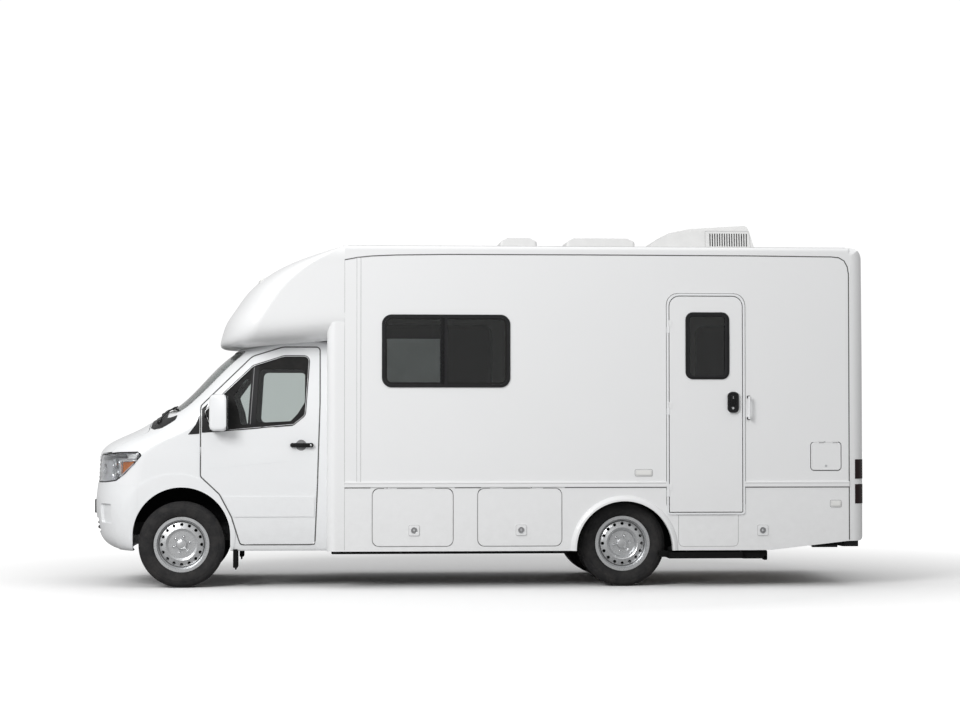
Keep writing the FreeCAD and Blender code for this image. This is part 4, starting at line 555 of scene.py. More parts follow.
@dataclass(frozen=True)
class Finishes:
    """Every finish of the vehicle."""

    cab_paint: Finish = Paint("cab_white_paint", "white_paint", (0.83, 0.84, 0.85), 0.3)
    gelcoat: Finish = Paint("coach_white_gelcoat", "white_gelcoat", (0.83, 0.835, 0.84), 0.36, coat=0.2)
    bumper_white: Finish = Paint("bumper_white", "white_plastic", (0.81, 0.82, 0.83), 0.38, coat=0.15)
    roof_abs: Finish = Plastic("roof_unit_white", "white_plastic", (0.69, 0.69, 0.685), 0.45, depth=0.0003,
                                 worn=1.06)
    wheel_silver: Finish = Metal("wheel_silver_paint", "white_steel", (0.66, 0.67, 0.68), 0.27, 0.85, soiling=0.2)
    bright: Finish = Metal("bright_plated", "brushed_steel", (0.86, 0.87, 0.88), 0.12, 1.0, soiling=0.02)
    aluminium: Finish = Metal("anodised_aluminium", "brushed_steel", (0.7, 0.71, 0.72), 0.35, 1.0,
                              (1.0, 1.0, 0.05), soiling=0.05)
    reflector: Finish = Metal("lamp_reflector", "lamp_dark", (0.82, 0.83, 0.84), 0.16, 0.9, soiling=0.0)
    exhaust: Finish = Metal("exhaust_steel", "brushed_steel", (0.36, 0.33, 0.3), 0.5, 0.9,
                            soil=(0.18, 0.09, 0.05), soiling=0.7)
    iron: Finish = Metal("cast_iron", "cast_iron", (0.1, 0.1, 0.1), 0.6, 0.7, soil=(0.16, 0.1, 0.07), soiling=0.6)
    chassis: Finish = Paint("chassis_black", "black_steel", (0.01, 0.01, 0.011), 0.5, dust=0.06, coat=0.0)
    trim_black: Finish = Plastic("trim_black_plastic", "black_plastic", (0.01, 0.01, 0.011), 0.42, shine=0.3)
    gloss_black: Finish = Plastic("gloss_black_plastic", "black_plastic", (0.006, 0.006, 0.0065), 0.22, depth=0.00005,
                                  shine=0.3)
    dark: Finish = Plastic("underbody_dark_plastic", "dark_plastic", (0.006, 0.006, 0.006), 0.8, shine=0.15)
    dash_grey: Finish = Plastic("dashboard_grey", "grey_plastic", (0.04, 0.041, 0.044), 0.6, shine=0.3)
    locker_grey: Finish = Plastic("locker_grey", "grey_plastic", (0.3, 0.31, 0.32), 0.55)
    seal: Finish = Rubber("seal_rubber", "black_plastic", (0.012, 0.012, 0.012), 0.62, dust=0.08)
    sealant: Finish = Rubber("joint_sealant", "white_plastic", (0.48, 0.48, 0.48), 0.6, dust=0.3)
    tyre: Finish = Rubber("tyre_rubber", "tyre", (0.02, 0.02, 0.021), 0.72)
    cab_glass: Finish = Glass("cab_glass", "glass", (0.875, 0.925, 0.91), 0.0)
    screen: Finish = Glass("windscreen_glass", "glass", (0.55, 0.61, 0.59), 0.0)
    tinted: Finish = Glass("tinted_window_glass", "tinted_glass", (0.44, 0.46, 0.455), 0.0, shine=0.2)
    lens: Finish = Glass("clear_lens", "lamp_lens", (0.97, 0.98, 1.0), 0.0)
    seam: Finish = Rubber("seam_shadow_sealant", "black_plastic", (0.105, 0.105, 0.105), 0.7, dust=0.05)
    cup_grey: Finish = Plastic("recess_grey", "grey_plastic", (0.22, 0.22, 0.225), 0.45, depth=0.0002)
    lamp_grey: Finish = Plastic("lamp_bezel_grey", "lamp_dark", (0.09, 0.092, 0.095), 0.3, depth=0.0001)
    liner: Finish = Plastic("lamp_liner_grey", "lamp_dark", (0.66, 0.67, 0.68), 0.3, depth=0.0001)
    fluted: Finish = Fluted("lamp_fluted_silver", "lamp_dark", (0.66, 0.67, 0.68), 0.22)
    mirror: Finish = Metal("mirror_silver", "brushed_steel", (0.86, 0.88, 0.89), 0.03, 1.0, soiling=0.0)
    mesh: Finish = Grille("grille_mesh_black", "black_plastic", (0.03, 0.03, 0.031), 0.55)
    plate: Finish = Plastic("blank_plate_white", "white_plastic", (0.72, 0.72, 0.7), 0.35, depth=0.0001)
    amber: Finish = Glass("amber_lens", "lamp_lens", (0.9, 0.26, 0.04), 0.12, clear=0.35)
    red: Finish = Plastic("smoked_lamp_lens", "lamp_dark", (0.01, 0.0015, 0.002), 0.15, depth=0.00004, shine=0.35)
    stop_red: Finish = Plastic("red_lens", "lamp_dark", (0.22, 0.008, 0.01), 0.2, depth=0.0001)
    marker: Finish = Glass("marker_lens_white", "lamp_lens", (0.9, 0.9, 0.88), 0.15, clear=0.12)
    cloth: Finish = Cloth("seat_cloth_grey", "seat_fabric", (0.06, 0.062, 0.067), 0.85)
    blind: Finish = Cloth("window_blind_pale", "grey_plastic", (0.72, 0.74, 0.74), 0.85, 300.0)
    blackout: Finish = Cloth("blackout_blind", "grey_plastic", (0.012, 0.012, 0.013), 0.9, 300.0)
    ply: Finish = Metal("floor_plywood", "plywood", (0.34, 0.25, 0.16), 0.7, 0.0, (1.0, 0.08, 1.0), soiling=0.3)


FINISH = Finishes()


def new_block(low: Place, high: Place, axis: str = "y", corner: float = 0.0, edge: float = 0.0,
              steps: int = 5) -> Shape:
    """A block with rounded corners along one axis and softened rims.

    Args:
        low: Its lowest corner.
        high: Its highest corner.
        axis: The axis that the rounded corners run along.
        corner: The corners' radius.
        edge: The rims' radius.
        steps: Segments in each rounded corner.

    Returns:
        The block as a bmesh.
    """
    bm = bmesh.new()
    low, high = Vector(low), Vector(high)
    bmesh.ops.create_cube(bm, size=1.0)
    bmesh.ops.scale(bm, vec=high - low, verts=bm.verts)
    bmesh.ops.translate(bm, vec=(low + high) / 2, verts=bm.verts)
    k = "xyz".index(axis)
    if corner > 0:
        posts = [e for e in bm.edges if abs(e.verts[0].co[k] - e.verts[1].co[k]) > 1e-6]
        bmesh.ops.bevel(bm, geom=posts, offset=corner, segments=steps, profile=0.5, affect="EDGES", material=-1)
    if edge > 0:
        rims = [e for e in bm.edges if e.calc_face_angle(0.0) > 0.8 and abs(e.verts[0].co[k] - e.verts[1].co[k]) < 1e-6]
        bmesh.ops.bevel(bm, geom=rims, offset=edge, segments=3, profile=0.5, affect="EDGES", material=-1)
    return bm


def lathe(profile: Corners, centre: Place, axis: Place, steps: int = 48) -> Shape:
    """A profile turned once about an axis.

    Args:
        profile: The profile as (radius, distance along the axis).
        centre: Where that distance is nothing.
        axis: The axis' direction.
        steps: Segments in the whole turn.

    Returns:
        The turned shape as a bmesh.
    """
    bm = bmesh.new()
    centre, along = Vector(centre), Vector(axis).normalized()
    out = along.orthogonal().normalized()
    verts = [bm.verts.new(centre + along * a + out * r) for r, a in profile]
    edges = [bm.edges.new(pair) for pair in zip(verts, verts[1:])]
    bmesh.ops.spin(bm, geom=verts + edges, cent=centre, axis=along, angle=2 * math.pi, steps=steps, use_merge=True)
    bmesh.ops.remove_doubles(bm, verts=bm.verts, dist=1e-5)
    return bm


def rod(points: list[Place], radius: float, smooth: bool = True, sides: int = 4) -> Shape:
    """A round rod that follows a line of points, with closed ends.

    Args:
        points: The line's points.
        radius: The rod's radius.
        smooth: Whether the line bends smoothly between its points.
        sides: Quarter of the number of the rod's sides.

    Returns:
        The rod as a bmesh.
    """
    curve = bpy.data.curves.new("rod", "CURVE")
    curve.dimensions = "3D"
    curve.bevel_depth = radius
    curve.bevel_resolution = sides
    curve.use_fill_caps = True
    spline = curve.splines.new("NURBS" if smooth else "POLY")
    spline.points.add(len(points) - 1)
    for point, spot in zip(spline.points, points):
        point.co = (*spot, 1.0)
    if smooth:
        spline.order_u = 3
        spline.use_endpoint_u = True
        spline.resolution_u = 6
    holder = bpy.data.objects.new("rod", curve)
    mesh = bpy.data.meshes.new_from_object(holder)
    bm = bmesh.new()
    bm.from_mesh(mesh)
    bpy.data.objects.remove(holder)
    bpy.data.curves.remove(curve)
    bpy.data.meshes.remove(mesh)
    return bm


def joined(*parts: Shape) -> Shape:
    """Several bmeshes as one.

    Args:
        parts: The bmeshes; they are freed.

    Returns:
        The one bmesh.
    """
    whole = bmesh.new()
    for part in parts:
        mesh = bpy.data.meshes.new("part")
        part.to_mesh(mesh)
        part.free()
        whole.from_mesh(mesh)
        bpy.data.meshes.remove(mesh)
    return whole


def doubled(bm: Shape) -> Shape:
    """A bmesh with its mirror image on the vehicle's other side."""
    bmesh.ops.mirror(bm, geom=bm.verts[:] + bm.edges[:] + bm.faces[:], axis="Y", merge_dist=-1.0)
    return bm


def add(name: str, bm: Shape, finish: Finish, body: str = BODY,
              replaces: tuple[str, ...] = (), smooth: float = 32.0) -> bpy.types.Object:
    """Makes a finished piece that rides on a body.

    Args:
        name: The piece's name.
        bm: Its shape, in place; it is freed.
        finish: Its finish.
        body: The body it rides on.
        replaces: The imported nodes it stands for.
        smooth: Edges sharper than this many degrees stay sharp.

    Returns:
        The piece.
    """
    bmesh.ops.remove_doubles(bm, verts=bm.verts, dist=1e-6)
    bmesh.ops.recalc_face_normals(bm, faces=bm.faces)
    for edge in bm.edges:
        edge.smooth = edge.calc_face_angle(0.0) < math.radians(smooth)
    for face in bm.faces:
        face.smooth = True
    mesh = bpy.data.meshes.new(name)
    bm.to_mesh(mesh)
    bm.free()
    piece = bpy.data.objects.new(name, mesh)
    bpy.context.scene.collection.objects.link(piece)
    mesh.materials.append(finish.material())
    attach(piece, body)
    if replaces:
        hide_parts(*replaces)
    log.info("%s: %d faces on %s", name, len(mesh.polygons), body)
    return piece


class Skin:
    """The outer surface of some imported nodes, which trim is laid on."""

    nodes: ClassVar[Nodes] = {}

    def __init__(self, *names: str) -> None:
        """Reads the nodes' faces.

        Args:
            names: The nodes to read.
        """
        verts: list[Vector] = []
        faces: list[list[int]] = []
        for name in names:
            mesh = self.nodes[name].data
            start = len(verts)
            verts += [v.co.copy() for v in mesh.vertices]
            faces += [[start + i for i in p.vertices] for p in mesh.polygons]
        self.tree = BVHTree.FromPolygons(verts, faces)

    def hit(self, look: Look, a: float, b: float) -> tuple[Vector, Vector]:
        """The surface's point and outward normal at a place, or the nearest one where it has a hole.

        Args:
            look: The direction in which the skin is probed.
            a: The place's first coordinate.
            b: Its second one.

        Returns:
            The point and the normal.
        """
        start = look.place(a, b)
        point, normal, _, _ = self.tree.ray_cast(start, look.vector)
        if point is None:
            near = Vector(start)
            near += look.vector * (start.length * 0.8)
            point, normal, _, _ = self.tree.find_nearest(near)
        if normal.dot(look.vector) > 0:
            normal = -normal
        return point, normal

    def lay(self, bm: Shape, look: Look, lift: float) -> None:
        """Moves a flat bmesh's points onto the surface, and lifts them by a distance along its normal.

        Args:
            bm: The flat bmesh.
            look: The direction it is laid in.
            lift: The distance.
        """
        for vert in bm.verts:
            a, b = (vert.co.x, vert.co.z)
            if look in (Look.FRONT, Look.REAR):
                a, b = vert.co.y, vert.co.z
            elif look is Look.TOP:
                a, b = vert.co.x, vert.co.y
            point, normal = self.hit(look, a, b)
            vert.co = point + normal * lift


def rect(a0: float, a1: float, b0: float, b1: float) -> Corners:
    """A rectangle's corners, from its first and last place each way."""
    return [(a0, b0), (a1, b0), (a1, b1), (a0, b1)]


def flat_shape(corners: Corners, look: Look, radius: float, band: float = 0.0, cell: float = 0.05) -> Shape:
    """A flat face with rounded corners, or a band along its edge, cut into cells.

    Args:
        corners: The shape's corners (a, b).
        look: The direction it is laid in, which says what a and b are.
        radius: The corners' radius.
        band: The band's width, or 0 for the whole face.
        cell: The largest cell.

    Returns:
        The flat shape as a bmesh.
    """
    bm = bmesh.new()
    spots = [look.place(a, b, 0.0) for a, b in corners]
    bm.faces.new([bm.verts.new(spot) for spot in spots])
    if radius > 0:
        bmesh.ops.bevel(bm, geom=bm.verts[:], offset=radius, segments=5, profile=0.5, affect="VERTICES", material=-1)
    if band > 0:
        whole = bm.faces[:]
        bmesh.ops.inset_region(bm, faces=whole, thickness=band, use_even_offset=True, use_boundary=True)
        bmesh.ops.delete(bm, geom=whole, context="FACES")
    size_a = [a for a, _ in corners]
    size_b = [b for _, b in corners]
    way_a = look.place(1.0, 0.0, 0.0)
    way_b = look.place(0.0, 1.0, 0.0)
    for values, way in ((size_a, way_a), (size_b, way_b)):
        count = int((max(values) - min(values)) / cell)
        for i in range(1, count + 1):
            at = min(values) + (max(values) - min(values)) * i / (count + 1)
            bmesh.ops.bisect_plane(bm, geom=bm.verts[:] + bm.edges[:] + bm.faces[:], plane_co=way * at, plane_no=way)
    return bm


def thickened(bm: Shape, look: Look, thick: float) -> None:
    """Gives a sheet its thickness, inwards from the face that shows.

    Args:
        bm: The sheet.
        look: The direction it is seen in.
        thick: The thickness.
    """
    bm.normal_update()
    if sum((f.normal * f.calc_area() for f in bm.faces), Vector()).dot(look.vector) > 0:
        bmesh.ops.reverse_faces(bm, faces=bm.faces)
        bm.normal_update()
    ways = {v.co.copy().freeze(): v.normal.copy() for v in bm.verts}
    made = bmesh.ops.extrude_face_region(bm, geom=bm.faces[:], use_keep_orig=True)["geom"]
    for vert in [item for item in made if isinstance(item, bmesh.types.BMVert)]:
        vert.co -= ways[vert.co.copy().freeze()] * thick


def laid(skin: Skin, corners: Corners, look: Look, lift: float, thick: float, cell: float, radius: float = 0.0,
         band: float = 0.0) -> Shape:
    """A thin piece of trim laid on the skin: a plate, or a band along a shape's edge.

    Args:
        skin: What it lies on.
        corners: The shape's corners.
        look: The direction it is laid in.
        lift: How far its outer face stands off the skin.
        thick: Its thickness.
        cell: The largest cell.
        radius: The corners' radius.
        band: The band's width, or 0 for a plate.

    Returns:
        The trim as a closed bmesh.
    """
    bm = flat_shape(corners, look, radius, band, cell)
    skin.lay(bm, look, lift)
    thickened(bm, look, thick)
    return bm


def standing(corners: Corners, look: Look, at: float, thick: float, *shape: float) -> Shape:
    """A flat plate or band whose outer face stands at one depth.

    Args:
        corners: The shape's corners.
        look: The direction it is laid in.
        at: Where its outer face stands, as y on the sides and x on the ends.
        thick: Its thickness.
        shape: The corners' radius, the band's width and the largest cell.

    Returns:
        The plate or band as a closed bmesh.
    """
    bm = flat_shape(corners, look, *shape)
    for vert in bm.verts:
        vert.co[look is not Look.FRONT] = at
    thickened(bm, look, thick)
    return bm


def rounded(corners: Arcs | list[tuple[float, float, float]], step: float = 0.05) -> Corners:
    """A closed outline with an arc at each corner and points along its sides.

    Args:
        corners: The corners as (a, b, radius).
        step: The longest side between two points.

    Returns:
        The outline's points.
    """
    points: Corners = []
    for i, (a, b, radius) in enumerate(corners):
        here = Vector((a, b))
        back = (Vector(corners[i - 1][:2]) - here).normalized()
        ahead = (Vector(corners[(i + 1) % len(corners)][:2]) - here).normalized()
        half = math.acos(max(-0.999, min(0.999, back.dot(ahead)))) / 2
        if radius < 0.002:
            points.append((a, b))
            continue
        reach = radius / math.tan(half)
        centre = here + (back + ahead).normalized() * radius / math.sin(half)
        first, last = here + back * reach - centre, here + ahead * reach - centre
        turn = math.atan2(first.x * last.y - first.y * last.x, first.dot(last))
        for k in range(9):
            spot = centre + Matrix.Rotation(turn * k / 8, 2) @ first
            points.append((spot.x, spot.y))
    return spaced(points, step, True)


def spaced(path: Corners, step: float, closed: bool) -> Corners:
    """A line's points with more of them along its long runs.

    Args:
        path: The line's points.
        step: The longest run between two points.
        closed: Whether the line returns to its start.

    Returns:
        The points.
    """
    spots: Corners = [] if closed else [path[0]]
    ends = list(zip(path, path[1:])) + ([(path[-1], path[0])] if closed else [])
    for (a0, b0), (a1, b1) in ends:
        count = max(1, math.ceil(math.dist((a0, b0), (a1, b1)) / step))
        spots += [(a0 + (a1 - a0) * k / count, b0 + (b1 - b0) * k / count) for k in range(1, count + 1)]
    return spots


def sideways(path: Corners, i: int, closed: bool) -> Vector:
    """The direction square to a line at one of its points.

    Args:
        path: The line's points.
        i: Which point.
        closed: Whether the line returns to its start.

    Returns:
        The direction.
    """
    before = path[i - 1] if closed or i else path[0]
    after = path[(i + 1) % len(path)] if closed or i < len(path) - 1 else path[-1]
    along = Vector((after[0] - before[0], after[1] - before[1])).normalized()
    return Vector((-along.y, along.x))


def grown(outline: Corners, by: float) -> Corners:
    """A closed outline moved outwards by a distance, or inwards by a negative one.

    Args:
        outline: The outline's points.
        by: The distance.

    Returns:
        The moved outline.
    """
    area = sum(a0 * b1 - a1 * b0 for (a0, b0), (a1, b1) in zip(outline, outline[1:] + outline[:1]))
    sign = -1.0 if area > 0 else 1.0
    ways = [sideways(outline, i, True) * sign * by for i in range(len(outline))]
    return [(a + way.x, b + way.y) for (a, b), way in zip(outline, ways)]


def ring(skin: Skin, outer: Corners, inner: Corners, look: Look, lift: float, thick: float) -> Shape:
    """A band between two closed outlines, laid on the skin.

    Args:
        skin: What it lies on.
        outer: The outer outline.
        inner: The inner outline.
        look: The direction it is laid in.
        lift: How far its outer face stands off the skin.
        thick: Its thickness.

    Returns:
        The band as a closed bmesh.
    """
    bm = bmesh.new()
    loops = []
    for outline in (outer, inner):
        verts = [bm.verts.new(look.place(a, b, 0.0)) for a, b in outline]
        loops += [bm.edges.new(pair) for pair in zip(verts, verts[1:] + verts[:1])]
    bmesh.ops.bridge_loops(bm, edges=loops)
    skin.lay(bm, look, lift)
    thickened(bm, look, thick)
    return bm


def strip(skin: Skin, path: Corners, look: Look, width: float, lift: float = 0.0006, thick: float = 0.0014,
          closed: bool = False, probe: float = 0.0) -> Shape:
    """A narrow band of even width along a line on the skin, or in the gap that the line runs along.

    Args:
        skin: What it lies on.
        path: The line's points.
        look: The direction it is laid in.
        width: The band's width.
        lift: How far its outer face stands off the skin; less than nothing sinks it.
        thick: Its thickness.
        closed: Whether the line returns to its start.
        probe: How far to each side the skin is read, where the line runs along a gap.

    Returns:
        The band as a closed bmesh.
    """
    spots = path if closed else spaced(path, 0.08, False)
    reach = max(probe, width / 2)
    bm = bmesh.new()
    verts, others = [], []
    for i, (a, b) in enumerate(spots):
        side = sideways(spots, i, closed) * reach
        low, low_normal = skin.hit(look, a - side.x, b - side.y)
        high, high_normal = skin.hit(look, a + side.x, b + side.y)
        middle = (low + high) / 2 + (low_normal + high_normal).normalized() * lift
        half = (high - low).normalized() * width / 2
        verts.append(bm.verts.new(middle - half))
        others.append(middle + half)
    edges = [bm.edges.new(pair) for pair in zip(verts, verts[1:] + (verts[:1] if closed else []))]
    places = {v.co.copy().freeze(): other for v, other in zip(verts, others)}
    for item in bmesh.ops.extrude_edge_only(bm, edges=edges)["geom"]:
        if isinstance(item, bmesh.types.BMVert):
            item.co = places[item.co.copy().freeze()]
    thickened(bm, look, thick)
    return bm


@dataclass
class PackedFinishes:
    """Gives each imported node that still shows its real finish."""

    groups: dict[str, str] = field(default_factory=lambda: {
        "cab_paint": "cab_shell cab_door_left cab_door_right bonnet entry_frame",
        "gelcoat": "roof_panel rear_cap front_cap side_skirt_left side_skirt_right side_wall_left side_wall_right "
                   "baggage_door_front_left baggage_door_rear_left baggage_door_front_right baggage_door_rear_right "
                   "utility_door entry_door",
        "bumper_white": "front_bumper",
        "roof_abs": "small_vent_lid fan_vent_lid roof_aircon",
        "trim_black": "grille window_frames rear_bumper steering_wheel",
        "cab_glass": "cab_door_glass_left cab_door_glass_right",
        "screen": "windscreen",
        "tinted": "window_panes entry_door_glass",
        "lens": "headlamp_lenses",
        "red": "tail_lamps",
        "dark": "wheel_housings cab_floor entry_step",
        "dash_grey": "dashboard",
        "locker_grey": "lockers_left lockers_right",
        "ply": "coach_floor",
        "chassis": "chassis_frame leaf_springs front_suspension hitch_receiver",
        "iron": "engine_block driveline rear_axle steering_knuckle_left steering_knuckle_right",
        "exhaust": "exhaust",
        "wheel_silver": "front_wheel_left front_wheel_right rear_wheels_left rear_wheels_right",
        "tyre": "front_tyre_left front_tyre_right rear_tyres_left rear_tyres_right",
    })

    def dress(self) -> None:
        """Puts the finishes on the nodes' own slots."""
        for finish, names in self.groups.items():
            material = getattr(FINISH, finish).material()
            for name in names.split():
                for slot in Skin.nodes[name].material_slots:
                    slot.link = "OBJECT"
                    slot.material = material
                log.info("%s wears %s", name, material.name)


@dataclass
class RoadTyre:
    """A road tyre: ribbed tread with shoulder blocks, a bulged side wall and its beads."""

    outer: float = 0.4045
    steps: int = 84
    groove: float = 0.0026
    tread_depth: float = 0.0085

    def section(self) -> list[tuple[float, float]]:
        """The side wall from the inner liner's middle to the tread's edge, as (radius, y) of one half."""
        return [
            (0.388, 0.0), (0.386, 0.06), (0.366, 0.088), (0.33, 0.097), (0.292, 0.088), (0.262, 0.066),
            (0.2415, 0.058), (0.242, 0.07), (0.259, 0.0712), (0.2618, 0.08), (0.27, 0.088),
            (0.273, 0.0935), (0.279, 0.094), (0.28, 0.0965), (0.295, 0.1022), (0.312, 0.1056),
            (0.328, 0.1066), (0.344, 0.1062), (0.3452, 0.105), (0.353, 0.1034), (0.3542, 0.1042),
            (0.36, 0.103), (0.372, 0.099), (0.382, 0.0935), (0.388, 0.088), (0.392, 0.082),
        ]

    def build(self, centre: Vector) -> Shape:
        """One tyre about an axle point, with its axis along y.

        Args:
            centre: The middle of the tyre.

        Returns:
            The tyre as a bmesh.
        """
        base = self.outer - self.tread_depth
        ribs = [(base, 0.079), (base + 0.001, 0.049), (base + 0.0015, 0.017)]
        half = self.section() + ribs
        whole = half + [(r, -y) for r, y in reversed(half)]
        bm = lathe(whole, centre, (0, 1, 0), self.steps)
        rows: dict[int, list[bmesh.types.BMFace]] = {}
        for face in bm.faces:
            middle = face.calc_center_median() - centre
            radius = math.hypot(middle.x, middle.z)
            if radius > base - 0.0035 and abs(middle.y) < 0.08:
                rows.setdefault(round(middle.y * 1000 / 16), []).append(face)
        bmesh.ops.recalc_face_normals(bm, faces=bm.faces)
        for row in rows.values():
            shoulder = abs((row[0].calc_center_median() - centre).y) > 0.055
            if shoulder:
                bmesh.ops.inset_individual(bm, faces=row,
                                           thickness=self.groove, depth=self.tread_depth - 0.002, use_even_offset=True)
            else:
                bmesh.ops.inset_region(bm, faces=row, thickness=self.groove,
                                       depth=self.tread_depth - 0.0015, use_even_offset=True, use_boundary=True)
                cuts = [f for i, f in enumerate(sorted(row, key=lambda f: math.atan2(
                    f.calc_center_median().z - centre.z, f.calc_center_median().x - centre.x))) if i % 2]
                bmesh.ops.inset_individual(bm, faces=cuts, thickness=0.004, depth=-0.003)
        return bm


@dataclass
class Wheels:
    """Tyres on all wheels, with the nuts, hub domes, valves and dark lines of each."""

    front_x: float = -2.794
    rear_x: float = 1.366
    axle_z: float = 0.405
    front_y: float = 0.872
    rear_y: float = 0.925
    inner_y: float = 0.675
    nut_ring: float = 0.077
    front_floor: float = 0.042
    rear_floor: float = 0.022

    def nuts(self, centre: Vector, out: Vector) -> Shape:
        """Six domed nuts on their washers round a hub face.

        Args:
            centre: The middle of the hub's face.
            out: The way it faces.

        Returns:
            The nuts.
        """
        parts = []
        for i in range(6):
            angle = 2 * math.pi * i / 6 + 0.26
            spot = centre + Vector((math.cos(angle), 0, math.sin(angle))) * self.nut_ring
            washer = lathe(rect(0.0, 0.0185, 0.0, 0.003), spot, out, 20)
            nut = lathe([(0.0, 0.002), (0.015, 0.002), (0.015, 0.015),
                         (0.0125, 0.017), (0.0105, 0.022), (0.006, 0.0255), (0.0, 0.0265)], spot, out, 6)
            parts += [washer, nut]
        return joined(*parts)

    def hub_dome(self, centre: Vector, out: Vector) -> Shape:
        """The pressed cap over the hub, with a lip and a shallow dish."""
        return lathe([(0.0505, -0.002), (0.0525, 0.004), (0.052, 0.016), (0.05, 0.0235), (0.0455, 0.029),
                      (0.038, 0.0315), (0.034, 0.0305), (0.03, 0.0318), (0.015, 0.033), (0.0, 0.0332)], centre, out, 48)

    def valve(self, centre: Vector, out: Vector, foot: float) -> Shape:
        """A tyre valve in the rim, with its cap.

        Args:
            centre: The wheel's middle.
            out: The way it faces.
            foot: How far out the valve starts.

        Returns:
            The valve.
        """
        spot = centre + Vector((0.207, 0, -0.02))
        return lathe([(0.0, foot - 0.006), (0.0055, foot - 0.006), (0.005, foot + 0.012),
                      (0.0042, foot + 0.014), (0.0042, foot + 0.026), (0.0, foot + 0.027)], spot, out, 12)

    def channel(self, skin: Skin, look: Look, x: float) -> Shape:
        """The shaded line round the disc, where it meets the rim.

        Args:
            skin: The wheel's surface.
            look: The direction it is seen in.
            x: The wheel's middle.

        Returns:
            The line.
        """
        circles = [[(x + math.cos(math.tau * k / 72) * radius, self.axle_z + math.sin(math.tau * k / 72) * radius)
                    for k in range(72)] for radius in (0.217, 0.207)]
        return ring(skin, circles[0], circles[1], look, 0.0008, 0.0012)

    def build(self) -> None:
        """Builds every wheel's pieces on its own body."""
        tyre = RoadTyre()
        for side in Side:
            out = Vector((0, side.value, 0))
            for end, x, y, floor in (("front", self.front_x, self.front_y, self.front_floor),
                                     ("rear", self.rear_x, self.rear_y, self.rear_floor)):
                body = f"{end}_wheel_{side.word}" if end == "front" else f"rear_wheels_{side.word}"
                centre = Vector((x, side.value * y, self.axle_z))
                shape, node = tyre.build(centre), f"front_tyre_{side.word}"
                if end == "rear":
                    inner = Vector((x, side.value * self.inner_y, self.axle_z))
                    shape, node = joined(shape, tyre.build(inner)), f"rear_tyres_{side.word}"
                add(f"road_tyre_{end}_{side.word}", shape, FINISH.tyre, body, (node,), 40)
                face = centre + out * floor
                add(f"wheel_nuts_{end}_{side.word}", self.nuts(face, out), FINISH.bright, body)
                shade = lathe([(0.166, 0.03), (0.1935, 0.025), (0.1935, 0.023), (0.166, 0.028)], centre, out, 64)
                add(f"wheel_shade_{end}_{side.word}", shade, FINISH.dark, body)
                add(f"wheel_channel_{end}_{side.word}", self.channel(Skin(body), side.look, x), FINISH.seam, body)
                add(f"hub_dome_{end}_{side.word}", self.hub_dome(face, out), FINISH.wheel_silver, body)
                add(f"tyre_valve_{end}_{side.word}", self.valve(centre, out, 0.036), FINISH.seal, body)


